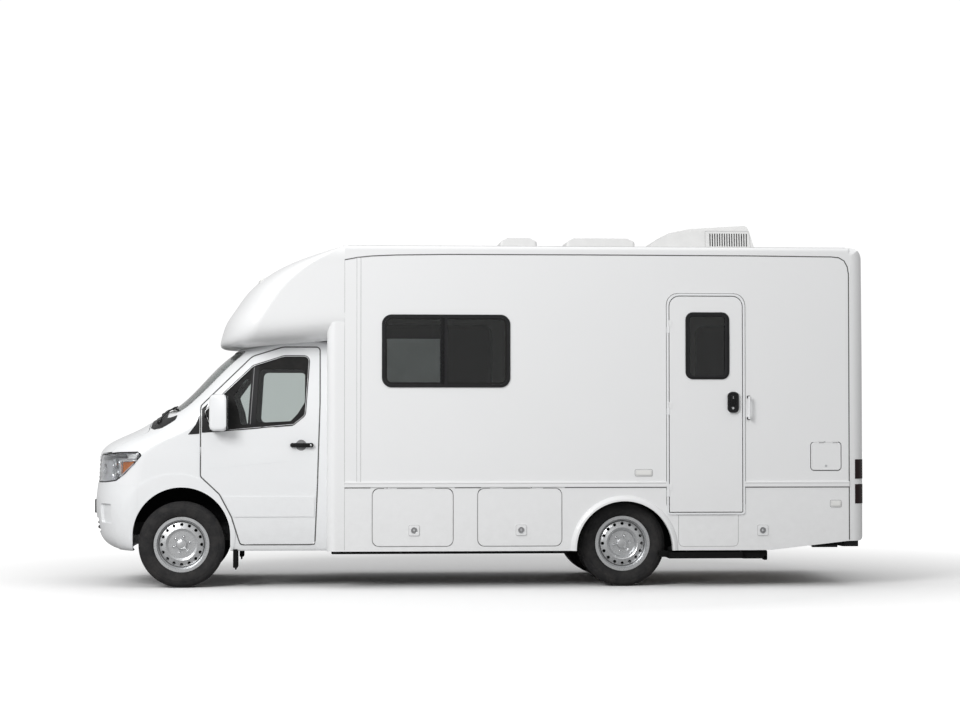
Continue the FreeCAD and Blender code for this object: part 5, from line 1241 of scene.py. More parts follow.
@dataclass
class Headlamps:
    """The inside of both headlamps: liner, reflectors, bowls, bulbs and indicator, with the dark line round them."""

    outline: Line = (
        (-3.6635, 0.9785), (-3.5316, 0.985), (-3.413, 1.003), (-3.324, 1.07),
        (-3.169, 1.24), (-3.193, 1.277), (-3.3972, 1.2705), (-3.6635, 1.233),
    )
    amber: Line = ((-3.346, 1.18), (-3.222, 1.187), (-3.352, 1.066))
    clear: Line = ((-3.304, 1.254), (-3.196, 1.259), (-3.222, 1.212), (-3.3, 1.214))
    bowls: Arcs = (
        (-3.43, 1.163, 0.041), (-3.432, 1.068, 0.038), (-3.56, 1.11, 0.047),
    )

    def build(self) -> None:
        """Builds both lamps."""
        skin = Skin("headlamp_lenses")
        for side in Side:
            look = side.look
            word = side.word
            outline = self.outline
            add(f"headlamp_liner_{word}", laid(skin, outline, look, -0.0345, 0.0012, 0.014), FINISH.liner)
            blocks = [laid(skin, rounded([(-3.462, z0, 0.008), (-3.373, z0, 0.008),
                                          (-3.373, z1, 0.008), (-3.462, z1, 0.008)]), look, -0.017, 0.016, 0.02)
                      for z0, z1 in ((1.064, 1.12), (1.134, 1.19))]
            add(f"headlamp_reflectors_{word}", joined(*blocks), FINISH.fluted)
            add(f"headlamp_outline_{word}", laid(skin, outline, look, 0.0006, 0.002, 0.014, 0.014, 0.0085), FINISH.seal)
            inner = [(side.value * y, z) for y, z in ((0.48, 0.98), (0.489, 0.98), (0.489, 1.212), (0.48, 1.212))]
            add(f"headlamp_inner_edge_{word}", laid(skin, inner, Look.FRONT, 0.0006, 0.002, 0.03), FINISH.seal)
            add(f"indicator_block_{word}", laid(skin, self.amber, look, -0.009, 0.014, 0.02, 0.004), FINISH.amber)
            rim = [(-3.362, 1.194), (-3.196, 1.203), (-3.36, 1.04)]
            add(f"indicator_rim_{word}", laid(skin, rim, look, -0.008, 0.018, 0.02, 0.004, 0.008), FINISH.reflector)
            add(f"side_light_{word}", laid(skin, self.clear, look, -0.009, 0.012, 0.02, 0.006), FINISH.marker)
            brow = [(-3.56, 1.228), (-3.398, 1.254), (-3.312, 1.256), (-3.312, 1.222), (-3.4, 1.222), (-3.56, 1.192)]
            add(f"headlamp_brow_{word}", laid(skin, brow, look, -0.012, 0.01, 0.02, 0.006), FINISH.lamp_grey)
            bowls, bulbs = [], []
            for x, z, radius in self.bowls:
                spot, normal = skin.hit(look, x, z)
                out = (normal + Vector((-0.3, 0, 0))).normalized()
                foot = spot - normal * 0.024
                bowls.append(lathe([(0.008, -0.004), (radius * 0.45, -0.002),
                                    (radius * 0.75, 0.004), (radius * 0.93, 0.011),
                                    (radius, 0.014), (radius + 0.003, 0.014), (radius + 0.003, -0.006)], foot, out, 40))
                bulbs.append(lathe([(0.01, -0.004), (0.0125, 0.001), (0.0115, 0.006), (0.007, 0.01), (0.0, 0.011)],
                                   foot, out, 24))
            add(f"headlamp_bowls_{word}", joined(*bowls), FINISH.reflector)
            add(f"headlamp_bulbs_{word}", joined(*bulbs), FINISH.marker)


@dataclass
class Nose:
    """Grille and intake backings, blank plate, scuttle, wipers and the windscreen's dark border."""

    grille_half: float = 0.424
    lowest_bar: float = 1.0254
    plate_half: float = 0.26
    screen: Line = ((-0.8, 1.648), (0.8, 1.648), (0.69, 2.222), (-0.69, 2.222))

    def build(self) -> None:
        """Builds the nose's trim."""
        self.backings()
        self.screen_trim()
        self.scuttle()
        self.plate()

    def backings(self) -> None:
        """Dark mesh behind the grille's bars and the lower intake, with the intake's slats."""
        nose = Skin("grille", "front_bumper")
        for name, half, low, high, at, back in (
            ("grille_mesh", self.grille_half, 0.985, 1.195, 0.973, 0.04),
            ("intake_mesh", 0.505, 0.51, 0.632, 0.665, 0.058),
        ):
            bm = flat_shape(rect(-half, half, low, high), Look.FRONT, 0.0, 0.0, 0.04)
            for vert in bm.verts:
                point, _ = nose.hit(Look.FRONT, vert.co.y, at)
                vert.co.x = point.x + back
            thickened(bm, Look.FRONT, 0.004)
            add(name, bm, FINISH.mesh)
        slats = []
        for z in (0.545, 0.59):
            path = []
            for i in range(15):
                y = -0.51 + 1.02 * i / 14
                point, _ = nose.hit(Look.FRONT, y, 0.665)
                path.append(Vector((point.x + 0.022, y, z)))
            slats.append(rod(path, 0.009, False, 3))
        add("intake_slats", joined(*slats), FINISH.trim_black)
        bars = []
        bar_skin = Skin("grille")
        for i in range(4):
            z = self.lowest_bar + i * 0.04
            spots = [(-0.4 + 0.8 * k / 12, z) for k in range(13)]
            path = [bar_skin.hit(Look.FRONT, y, z)[0] + Vector((-0.0005, 0, 0)) for y, z in spots]
            bars.append(rod(path, 0.0032, False, 2))
        add("grille_bright_lines", joined(*bars), FINISH.bright)

    def screen_trim(self) -> None:
        """The seal and the printed dark border of the windscreen, the dark bands at its top and foot, and the mirror
        inside.
        """
        glass = Skin("windscreen")
        both = Skin("windscreen", "cab_shell")
        outline = rounded([(a, b, 0.07) for a, b in self.screen])
        add("windscreen_seal",
            ring(both, grown(outline, 0.009), grown(outline, -0.008), Look.FRONT, 0.0014, 0.004), FINISH.seal)
        add("windscreen_border", ring(glass, grown(outline, -0.007),
                                      grown(outline, -0.024), Look.FRONT, -0.0068, 0.0008), FINISH.gloss_black)
        top = [(-0.672, 2.15), (0.672, 2.15), (0.655, 2.208), (-0.655, 2.208)]
        add("windscreen_sun_band", laid(glass, top, Look.FRONT, -0.007, 0.0008, 0.03), FINISH.gloss_black)
        low = [(-0.78, 1.662), (0.78, 1.662), (0.765, 1.735), (-0.765, 1.735)]
        add("windscreen_low_band", laid(glass, low, Look.FRONT, -0.007, 0.0008, 0.03), FINISH.gloss_black)
        spot, normal = glass.hit(Look.FRONT, 0.0, 2.08)
        stem = spot + normal * -0.012
        head = stem + Vector((0.085, 0.0, -0.035))
        arm = rod([stem, stem + Vector((0.04, 0, -0.004)), head], 0.007, True, 3)
        case = new_block(head + Vector((-0.016, -0.12, -0.034)), head + Vector((0.016, 0.12, 0.034)), "x", 0.022, 0.006)
        add("cab_mirror_case", joined(arm, case), FINISH.trim_black)
        glass_face = new_block(head + Vector((0.0155, -0.112, -0.027)),
                               head + Vector((0.0175, 0.112, 0.027)), "x", 0.016)
        add("cab_mirror_glass", glass_face, FINISH.mirror)

    def scuttle(self) -> None:
        """The black scuttle panel with its vents, and two wipers parked on the glass."""
        shell = Skin("cab_shell")
        glass = Skin("windscreen")
        half = [(-3.1, 0.7), (-3.062, 0.8), (-2.99, 0.852), (-2.858, 0.862),
                (-2.842, 0.815), (-2.905, 0.758), (-2.944, 0.7)]
        panel = [(x, -y) for x, y in half] + [(x, y) for x, y in reversed(half)]
        both = Skin("cab_shell", "windscreen")
        add("scuttle_panel", laid(both, panel, Look.TOP, 0.003, 0.0036, 0.02, 0.01), FINISH.trim_black)
        ribs = []
        for i in range(26):
            y = -0.68 + i * 0.0544
            low, _ = shell.hit(Look.TOP, -3.07, y)
            high, _ = shell.hit(Look.TOP, -3.01, y)
            ribs.append(rod([low + Vector((0, 0, 0.0035)), high + Vector((0, 0, 0.0035))], 0.0035, False, 2))
        add("scuttle_ribs", joined(*ribs), FINISH.gloss_black)
        arms, blades = [], []
        for y0, y1 in ((-0.7, -0.06), (-0.02, 0.62)):
            foot, _ = shell.hit(Look.TOP, -3.02, y0 + 0.02)
            foot += Vector((0, 0, 0.004))
            path = []
            for k in range(9):
                y = y0 + 0.03 + (y1 - y0) * k / 8
                z = 1.668 + 0.03 * k / 8
                point, normal = glass.hit(Look.FRONT, y, z)
                path.append(point + normal * 0.009)
            blades.append(rod(path, 0.0065, False, 3))
            middle = path[5]
            knee = foot + Vector((0.0, 0.05, 0.03))
            arms.append(rod([foot, knee, (knee + middle) / 2 + Vector((-0.01, 0, 0.012)),
                             middle + Vector((-0.004, 0, 0.004))], 0.0075, True, 3))
            arms.append(lathe([(0.0, -0.004), (0.024, -0.004),
                               (0.024, 0.01), (0.019, 0.019), (0.01, 0.024), (0.0, 0.024)], foot, (-0.5, 0, 1), 28))
        add("wiper_arms", joined(*arms), FINISH.gloss_black)
        add("wiper_blades", joined(*blades), FINISH.seal)

    def plate(self) -> None:
        """A blank number plate on its holder."""
        half = self.plate_half
        for name, grow, at, thick, finish in (
            ("front_plate_holder", 0.01, -3.66541, 0.014, FINISH.trim_black),
            ("front_plate_blank", 0.0, -3.66546, 0.0015, FINISH.plate),
        ):
            corners = rect(-half - grow, half + grow, 0.69 - grow, 0.8 + grow)
            add(name, standing(corners, Look.FRONT, at, thick, 0.012, 0.0, 0.06), finish)


@dataclass
class SideTrim:
    """Trim on one side of the vehicle, most of it laid on that side's skin."""

    side: Side
    body: str = BODY

    def __post_init__(self) -> None:
        """Reads the side's skin."""
        self.word = self.side.word
        self.look = self.side.look
        self.skin = self.read()

    def read(self) -> Skin:
        """The skin that the trim lies on."""
        return Skin("cab_shell")

    def plate(self, name: str, corners: Corners, finish: Finish, *sizes: float) -> None:
        """Adds a plate laid on the skin, with its sizes as laid takes them."""
        add(f"{name}_{self.word}", laid(self.skin, corners, self.look, *sizes), finish, self.body)

    def line(self, name: str, path: Corners, finish: Finish, *sizes: float) -> None:
        """Adds a narrow band along a line on the skin, with its sizes as strip takes them."""
        add(f"{name}_{self.word}", strip(self.skin, path, self.look, *sizes), finish, self.body)


@dataclass
class CabDoor(SideTrim):
    """One cab door's seals, dark glass borders, corner panels, handle, crease, mirror and inner card."""

    leaf: Arcs = (
        (-2.2412, 0.408, 0.0), (-1.5515, 0.408, 0.0), (-1.5282, 0.9639, 0.0), (-1.505, 1.7422, 0.0),
        (-1.505, 2.261, 0.03), (-1.8482, 2.261, 0.18), (-2.136, 2.1721, 0.12), (-2.612, 1.7051, 0.036),
        (-2.612, 1.0473, 0.036), (-2.4349, 0.8805, 0.09), (-2.322, 0.6674, 0.09),
    )
    window: Arcs = (
        (-2.5013, 1.4716, 0.024), (-2.1471, 1.5013, 0.0), (-1.7485, 1.5365, 0.02), (-1.6434, 1.6217, 0.06),
        (-1.6024, 2.1776, 0.048), (-1.8371, 2.1776, 0.12), (-2.1249, 2.085, 0.0), (-2.5788, 1.6532, 0.024),
    )
    main: Arcs = (
        (-2.145, 1.502, 0.0), (-1.7485, 1.537, 0.02), (-1.644, 1.622, 0.058), (-1.603, 2.176, 0.047),
        (-1.8371, 2.176, 0.118), (-2.108, 2.089, 0.0),
    )
    main_light: Arcs = (
        (-2.102, 1.548, 0.045), (-1.776, 1.564, 0.03), (-1.708, 1.635, 0.03), (-1.642, 1.742, 0.04),
        (-1.64, 2.056, 0.05), (-2.068, 2.056, 0.05),
    )
    quarter: Arcs = (
        (-2.5, 1.4725, 0.022), (-2.145, 1.502, 0.0), (-2.108, 2.089, 0.0), (-2.577, 1.653, 0.022),
    )
    quarter_light: Arcs = (
        (-2.242, 1.53, 0.02), (-2.156, 1.538, 0.02), (-2.15, 2.02, 0.03), (-2.312, 1.8, 0.03),
        (-2.302, 1.76, 0.03), (-2.262, 1.65, 0.03),
    )
    handle_low: float = -1.776
    handle_high: float = -1.562
    handle_z: float = 1.338
    handle_half: float = 0.019
    handle_depth: float = 0.036
    mirror_front: float = -2.532
    mirror_rear: float = -2.362
    mirror_in: float = 1.02
    mirror_out: float = 1.187
    mirror_low: float = 1.468
    mirror_top: float = 1.817

    def read(self) -> Skin:
        """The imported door's skin; the door is also the body, and its glass is kept beside it."""
        self.body = f"cab_door_{self.word}"
        self.pane = Skin(f"cab_door_glass_{self.word}")
        return Skin(self.body)

    def build(self) -> None:
        """Builds the door's trim."""
        self.window_trim()
        self.sail()
        self.handle()
        self.mirror()
        self.card()
        add(f"cab_door_gap_seal_{self.word}", strip(Skin(self.body, "cab_shell"), grown(rounded(self.leaf), 0.006),
                                                    self.look, 0.0105, 0.0016, 0.004, True, 0.012), FINISH.seam)
        crease = [(-2.545, 1.118), (-1.565, 1.2085), (-1.565, 1.2135), (-2.545, 1.126)]
        self.plate("door_crease", crease, FINISH.cab_paint, 0.0016, 0.0022, 0.05)

    def window_trim(self) -> None:
        """The rubber round the opening, the dark border inside the glass, partly printed and partly painted shade, and
        the divider bar.
        """
        outline = rounded(self.window)
        both = Skin(self.body, f"cab_door_glass_{self.word}")
        add(f"cab_window_seal_{self.word}",
            ring(both, grown(outline, 0.011), grown(outline, -0.01), self.look, 0.0022, 0.0045), FINISH.seal, self.body)
        # The borders are partly the printed edge and partly painted shade: the wide band at the top of the main window
        # and the dark front of the quarter light stand for the shaded cab seen through the glass.
        for name, outer, inner in (("main", self.main, self.main_light), ("quarter", self.quarter, self.quarter_light)):
            add(f"cab_window_{name}_border_{self.word}",
                ring(self.pane, grown(rounded(outer), -0.001), rounded(inner), self.look, 0.0018, 0.0008),
                FINISH.seal, self.body)
        bar = [(-2.18, 1.492), (-2.106, 1.499), (-2.072, 2.092), (-2.14, 2.066)]
        add(f"cab_window_bar_{self.word}",
            laid(self.pane, bar, self.look, 0.0035, 0.0045, 0.04), FINISH.trim_black, self.body)
        groove = [(-2.16, 1.495), (-2.154, 1.495), (-2.116, 2.07), (-2.122, 2.07)]
        add(f"cab_window_bar_line_{self.word}",
            laid(self.pane, groove, self.look, 0.0046, 0.0015, 0.05), FINISH.cup_grey, self.body)

    def sail(self) -> None:
        """The black corner panel in front of the window, part on the door and part on the wing."""
        on_door = [(-2.606, 1.456), (-2.606, 1.68), (-2.55, 1.728), (-2.582, 1.652), (-2.484, 1.47)]
        on_wing = [(-2.735, 1.438), (-2.662, 1.533), (-2.629, 1.62), (-2.629, 1.446)]
        self.plate("corner_panel", on_door, FINISH.trim_black, 0.004, 0.0052, 0.03, 0.004)
        add(f"corner_panel_wing_{self.word}",
            laid(Skin("cab_shell"), on_wing, self.look, 0.004, 0.0052, 0.03, 0.006), FINISH.trim_black)
        waist = [(-2.6, 1.4545), (-2.6, 1.47), (-1.76, 1.537), (-1.755, 1.5235)]
        self.plate("waist_rail", waist, FINISH.trim_black, 0.003, 0.0042, 0.03)

    def handle(self) -> None:
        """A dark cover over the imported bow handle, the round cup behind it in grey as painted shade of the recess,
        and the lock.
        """
        s = self.side.value
        out = Vector((0, s, 0))
        front = self.skin.hit(self.look, self.handle_high + 0.03, self.handle_z)[0].y
        tip, _ = self.skin.hit(self.look, (self.handle_low + self.handle_high) / 2, self.handle_z)
        y_in, y_out = sorted((tip.y - s * (self.handle_depth - 0.0155), tip.y + s * 0.0018))
        pad = 0.0016
        bow = new_block((self.handle_low - pad, y_in, self.handle_z - self.handle_half - pad),
                        (self.handle_high + pad, y_out, self.handle_z + self.handle_half + pad),
                        "y", self.handle_half, 0.005, 8)
        legs = []
        for x in (self.handle_low + 0.018, self.handle_high - 0.019):
            low, high = sorted((front - s * 0.004, tip.y - s * 0.004))
            legs.append(new_block((x - 0.0212, low, self.handle_z - 0.0206),
                                  (x + 0.0212, high, self.handle_z + 0.0206), "y", 0.019, 0.0, 6))
        add(f"door_handle_{self.word}", joined(bow, *legs), FINISH.gloss_black, self.body)
        lock = lathe([(0.0085, 0.0), (0.0095, 0.0022), (0.008, 0.003), (0.0065, 0.002), (0.0, 0.002)],
                     (self.handle_high - 0.021, tip.y + s * 0.0016, self.handle_z), out, 24)
        add(f"door_lock_{self.word}", lock, FINISH.bright, self.body)
        x_cup = -1.676
        spot, normal = self.skin.hit(self.look, x_cup, self.handle_z + 0.04)
        level = self.skin.hit(self.look, x_cup, self.handle_z - 0.04)[0]
        middle = (spot + level) / 2
        # The cup's grey is painted shade in the recess behind the handle.
        cup = lathe([(0.0, 0.0008), (0.03, 0.0009), (0.044, 0.0014), (0.048, 0.003), (0.051, 0.0016), (0.0515, -0.002)],
                    middle, normal, 44)
        add(f"door_handle_cup_{self.word}", cup, FINISH.cup_grey, self.body)

    def mirror(self) -> None:
        """The mirror: its painted housing, two glasses in a dark bezel, the arm and its foot."""
        s = self.side.value

        def slab(x0: float, x1: float, y0: float, y1: float, z0: float, z1: float, *shape: str | float) -> Shape:
            """A rounded block whose y is measured outwards on this side."""
            low, high = sorted((s * y0, s * y1))
            return new_block((x0, low, z0), (x1, high, z1), *shape)

        middle_z = (self.mirror_low + self.mirror_top) / 2
        housing = slab(self.mirror_front, self.mirror_rear,
                       self.mirror_in, self.mirror_out, self.mirror_low, self.mirror_top, "y", 0.05, 0.022, 8)
        for vert in housing.verts:
            ahead = (self.mirror_rear - vert.co.x) / (self.mirror_rear - self.mirror_front)
            outward = (s * vert.co.y - self.mirror_in) / (self.mirror_out - self.mirror_in)
            vert.co.y -= s * 0.055 * outward * ahead ** 2
            vert.co.z -= (vert.co.z - middle_z) * 0.06 * outward ** 2
        add(f"mirror_housing_{self.word}", housing, FINISH.cab_paint, self.body)
        x = self.mirror_rear
        bezel = slab(x - 0.012, x + 0.004, self.mirror_in + 0.008,
                     self.mirror_out - 0.006, self.mirror_low + 0.012, self.mirror_top - 0.01, "x", 0.034, 0.003)
        add(f"mirror_bezel_{self.word}", bezel, FINISH.trim_black, self.body)
        faces = [slab(x + 0.002, x + 0.0052, self.mirror_in + 0.016, self.mirror_out - 0.014,
                      z0, z1, "x", 0.026, 0.0006) for z0, z1 in ((1.602, 1.799), (1.488, 1.592))]
        add(f"mirror_glass_{self.word}", joined(*faces), FINISH.mirror, self.body)
        spot, _ = self.skin.hit(self.look, -2.5, 1.54)
        foot = abs(spot.y)
        arm = slab(-2.49, -2.392, foot - 0.006, self.mirror_in + 0.01, 1.5, 1.575, "y", 0.03, 0.006, 6)
        boot = slab(-2.545, -2.38, foot - 0.006, foot + 0.016, 1.48, 1.6, "y", 0.034, 0.007, 6)
        add(f"mirror_arm_{self.word}", joined(arm, boot), FINISH.trim_black, self.body)

    def card(self) -> None:
        """The door's inner card with its armrest, pocket, pull and catch."""
        inward = Look.RIGHT if self.side is Side.LEFT else Look.LEFT
        card = [(-2.22, 0.48), (-1.6, 0.48), (-1.575, 1.46), (-2.47, 1.42), (-2.5, 1.12), (-2.33, 0.88)]
        add(f"door_card_{self.word}",
            laid(self.skin, card, inward, 0.007, 0.0085, 0.06, 0.03), FINISH.dash_grey, self.body)
        rest = [(-2.15, 1.02), (-1.68, 1.05), (-1.68, 1.11), (-2.15, 1.09)]
        add(f"door_armrest_{self.word}",
            laid(self.skin, rest, inward, 0.048, 0.043, 0.06, 0.02), FINISH.trim_black, self.body)
        pocket = [(-2.18, 0.54), (-1.66, 0.54), (-1.655, 0.72), (-2.24, 0.72)]
        add(f"door_pocket_{self.word}",
            laid(self.skin, pocket, inward, 0.042, 0.037, 0.06, 0.03), FINISH.dash_grey, self.body)
        pull = [(-2.25, 1.23), (-2.12, 1.235), (-2.12, 1.285), (-2.25, 1.28)]
        add(f"door_catch_{self.word}",
            laid(self.skin, pull, inward, 0.013, 0.007, 0.04, 0.012), FINISH.bright, self.body)


@dataclass
class CabRoom:
    """The dashboard's hood, dials, screen, lid and vents, and the steering wheel's boss."""

    def build(self) -> None:
        """Builds the cab's fittings."""
        dash = Skin("dashboard")
        hood = rect(0.28, 0.59, 1.44, 1.525)
        add("instrument_hood", laid(dash, hood, Look.REAR, 0.03, 0.03, 0.03, 0.035), FINISH.trim_black)
        dials = []
        for y in (0.365, 0.505):
            spot, normal = dash.hit(Look.REAR, y, 1.482)
            dials.append(lathe([(0.0, 0.0), (0.031, 0.0), (0.033, 0.003), (0.036, 0.003), (0.037, -0.002)],
                               spot + normal * 0.03, normal, 36))
        add("instrument_dials", joined(*dials), FINISH.bright)
        screen = rect(-0.13, 0.13, 1.33, 1.48)
        add("dash_screen", laid(dash, screen, Look.REAR, 0.008, 0.01, 0.04, 0.012), FINISH.gloss_black)
        glove = rect(-0.78, -0.26, 1.18, 1.38)
        add("glove_box_lid", laid(dash, glove, Look.REAR, 0.006, 0.007, 0.06, 0.02), FINISH.dash_grey)
        vents = []
        for y in (-0.8, -0.19, 0.19, 0.79):
            for k in range(5):
                z = 1.425 + k * 0.014
                spot_a, normal = dash.hit(Look.REAR, y - 0.045, z)
                spot_b, _ = dash.hit(Look.REAR, y + 0.045, z)
                vents.append(rod([spot_a + normal * 0.003, spot_b + normal * 0.003], 0.004, False, 2))
        add("dash_vents", joined(*vents), FINISH.gloss_black)
        self.steering()

    def steering(self) -> None:
        """A padded boss on the steering wheel."""
        low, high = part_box("steering_wheel")
        middle = (Vector(low) + Vector(high)) / 2
        boss = new_block(middle + Vector((-0.02, -0.075, -0.045)),
                         middle + Vector((0.03, 0.075, 0.045)), "x", 0.03, 0.012)
        add("steering_boss", boss, FINISH.trim_black)


@dataclass
class SeatPads:
    """The two cab seats: padded cushion, back and headrest on a closed pedestal."""

    middle: float = 0.47
    half: float = 0.25
    voxel: float = 0.011
    pressure: float = 4.0
    cap: float = 0.016
    seam: float = 0.155

    def build(self) -> None:
        """Builds the right seat's pads, mirrors them for the left, and adds the pedestals."""
        y0, y1 = self.middle - self.half + 0.012, self.middle + self.half - 0.012
        tilt = Matrix.Rotation(math.radians(10.0), 4, "Y")
        shapes = {
            "seat_cushion": (new_block((-2.092, y0, 0.985), (-1.61, y1, 1.082), "z", 0.075, 0.034), None, 0.75),
            "seat_back": (new_block((-1.59, y0 + 0.005, 1.01), (-1.49, y1 - 0.005, 1.6), "x", 0.085,
                                    0.036), Vector((-1.575, self.middle, 1.0)), 0.7),
            "headrest": (new_block((-1.449, self.middle - 0.112, 1.632), (-1.366, self.middle + 0.112, 1.762),
                                   "x", 0.045, 0.026), None, 0.8),
        }
        for name, (bm, pivot, fill) in shapes.items():
            if pivot is not None:
                bmesh.ops.rotate(bm, cent=pivot, matrix=tilt.to_3x3(), verts=bm.verts)
            soft = self.inflated(name, bm)
            self.sewn(name, soft)
            for side in Side:
                copy = soft.copy()
                if side is Side.LEFT:
                    bmesh.ops.scale(copy, vec=Vector((1, -1, 1)), verts=copy.verts)
                piece = add(f"{name}_{side.word}", copy, FINISH.cloth, BODY, ("cab_seats",), 70)
            soft.free()
        for side in Side:
            self.pedestal(side)

    def inflated(self, name: str, bm: Shape) -> Shape:
        """Remeshes a form evenly, fills it by pressure and gives it back smoothed.

        Args:
            name: A name for the working objects.
            bm: The form; it is freed.

        Returns:
            The filled pad as a bmesh.
        """
        scene = bpy.context.scene
        bmesh.ops.recalc_face_normals(bm, faces=bm.faces)
        mesh = bpy.data.meshes.new(name + "_form")
        bm.to_mesh(mesh)
        bm.free()
        form = bpy.data.objects.new(name + "_form", mesh)
        scene.collection.objects.link(form)
        voxels = form.modifiers.new("voxels", "REMESH")
        voxels.mode = "VOXEL"
        voxels.voxel_size = self.voxel
        even = self.evaluated(form)
        work = bpy.data.objects.new(name + "_work", even)
        scene.collection.objects.link(work)
        start = [v.co.copy() for v in even.vertices]
        cloth = work.modifiers.new("fill", "CLOTH")
        cloth.settings.quality = 4
        cloth.settings.use_pressure = True
        cloth.settings.uniform_pressure_force = self.pressure
        cloth.settings.effector_weights.gravity = 0.0
        cloth.point_cache.frame_start = 1
        cloth.point_cache.frame_end = 20
        for frame in range(1, 21):
            scene.frame_set(frame)
        filled = self.evaluated(work)
        work.modifiers.remove(cloth)
        scene.frame_set(1)
        result = bmesh.new()
        result.from_mesh(filled)
        result.verts.ensure_lookup_table()
        for vert, origin in zip(result.verts, start):
            move = vert.co - origin
            if move.length > self.cap:
                vert.co = origin + move.normalized() * self.cap
        bmesh.ops.smooth_vert(result, verts=result.verts, factor=0.5, use_axis_x=True, use_axis_y=True, use_axis_z=True)
        for item in (form, work):
            bpy.data.objects.remove(item)
        bmesh.ops.subdivide_edges(result, edges=result.edges, cuts=1, use_grid_fill=True, smooth=1.0)
        result.normal_update()
        return result

    def evaluated(self, item: bpy.types.Object) -> bpy.types.Mesh:
        """An object's mesh with its modifiers, as a mesh of its own."""
        graph = bpy.context.evaluated_depsgraph_get()
        return bpy.data.meshes.new_from_object(item.evaluated_get(graph))

    def sewn(self, name: str, bm: Shape) -> None:
        """Presses the bolster seams and the cross channels into a pad.

        Args:
            name: Which pad it is.
            bm: The pad.
        """
        for vert in bm.verts:
            across = vert.co.y - self.middle
            press = 0.0
            if name != "headrest":
                press += 0.0065 * math.exp(-((abs(across) - self.seam) / 0.006) ** 2)
                if abs(across) < self.seam:
                    along = vert.co.x if name == "seat_cushion" else vert.co.z
                    phase = (along * 10.0) % 1.0
                    press += 0.004 * math.exp(-((phase - 0.5) / 0.055) ** 2)
            rim = abs(across) - (self.half - 0.03)
            if name != "headrest" and rim > -0.01:
                press += 0.003 * math.exp(-((rim - 0.004) / 0.004) ** 2)
            vert.co -= vert.normal * press

    def pedestal(self, side: Side) -> None:
        """A closed seat box with a trimmed edge, a slide rail and a tilt knob.

        Args:
            side: Which seat.
        """
        y0, y1 = sorted((side.value * 0.272, side.value * 0.668))
        box = new_block((-2.052, y0, 0.6415), (-1.64, y1, 0.93), "z", 0.03, 0.008)
        rails = [new_block((-2.048, y - 0.018, 0.932), (-1.644, y + 0.018, 0.968), "y", 0.004, 0.002)
                 for y in (y0 + 0.045, y1 - 0.045)]
        add(f"seat_box_{side.word}", joined(box, *rails), FINISH.dash_grey, BODY, ("cab_seats",))
        knob_y = y1 if side is Side.RIGHT else y0
        knob = lathe([(0.0, 0.018), (0.014, 0.017), (0.02, 0.012), (0.022, 0.0), (0.0, 0.0)],
                     (-1.82, knob_y, 0.88), (0, side.value, 0), 28)
        posts = [lathe(rect(0.0, 0.006, 0.0, 0.07), (-1.415, side.value * self.middle + dy, 1.585), (0.05, 0, 1), 16)
                 for dy in (-0.05, 0.05)]
        add(f"seat_fittings_{side.word}", joined(knob, *posts), FINISH.bright, BODY, ("cab_seats",))


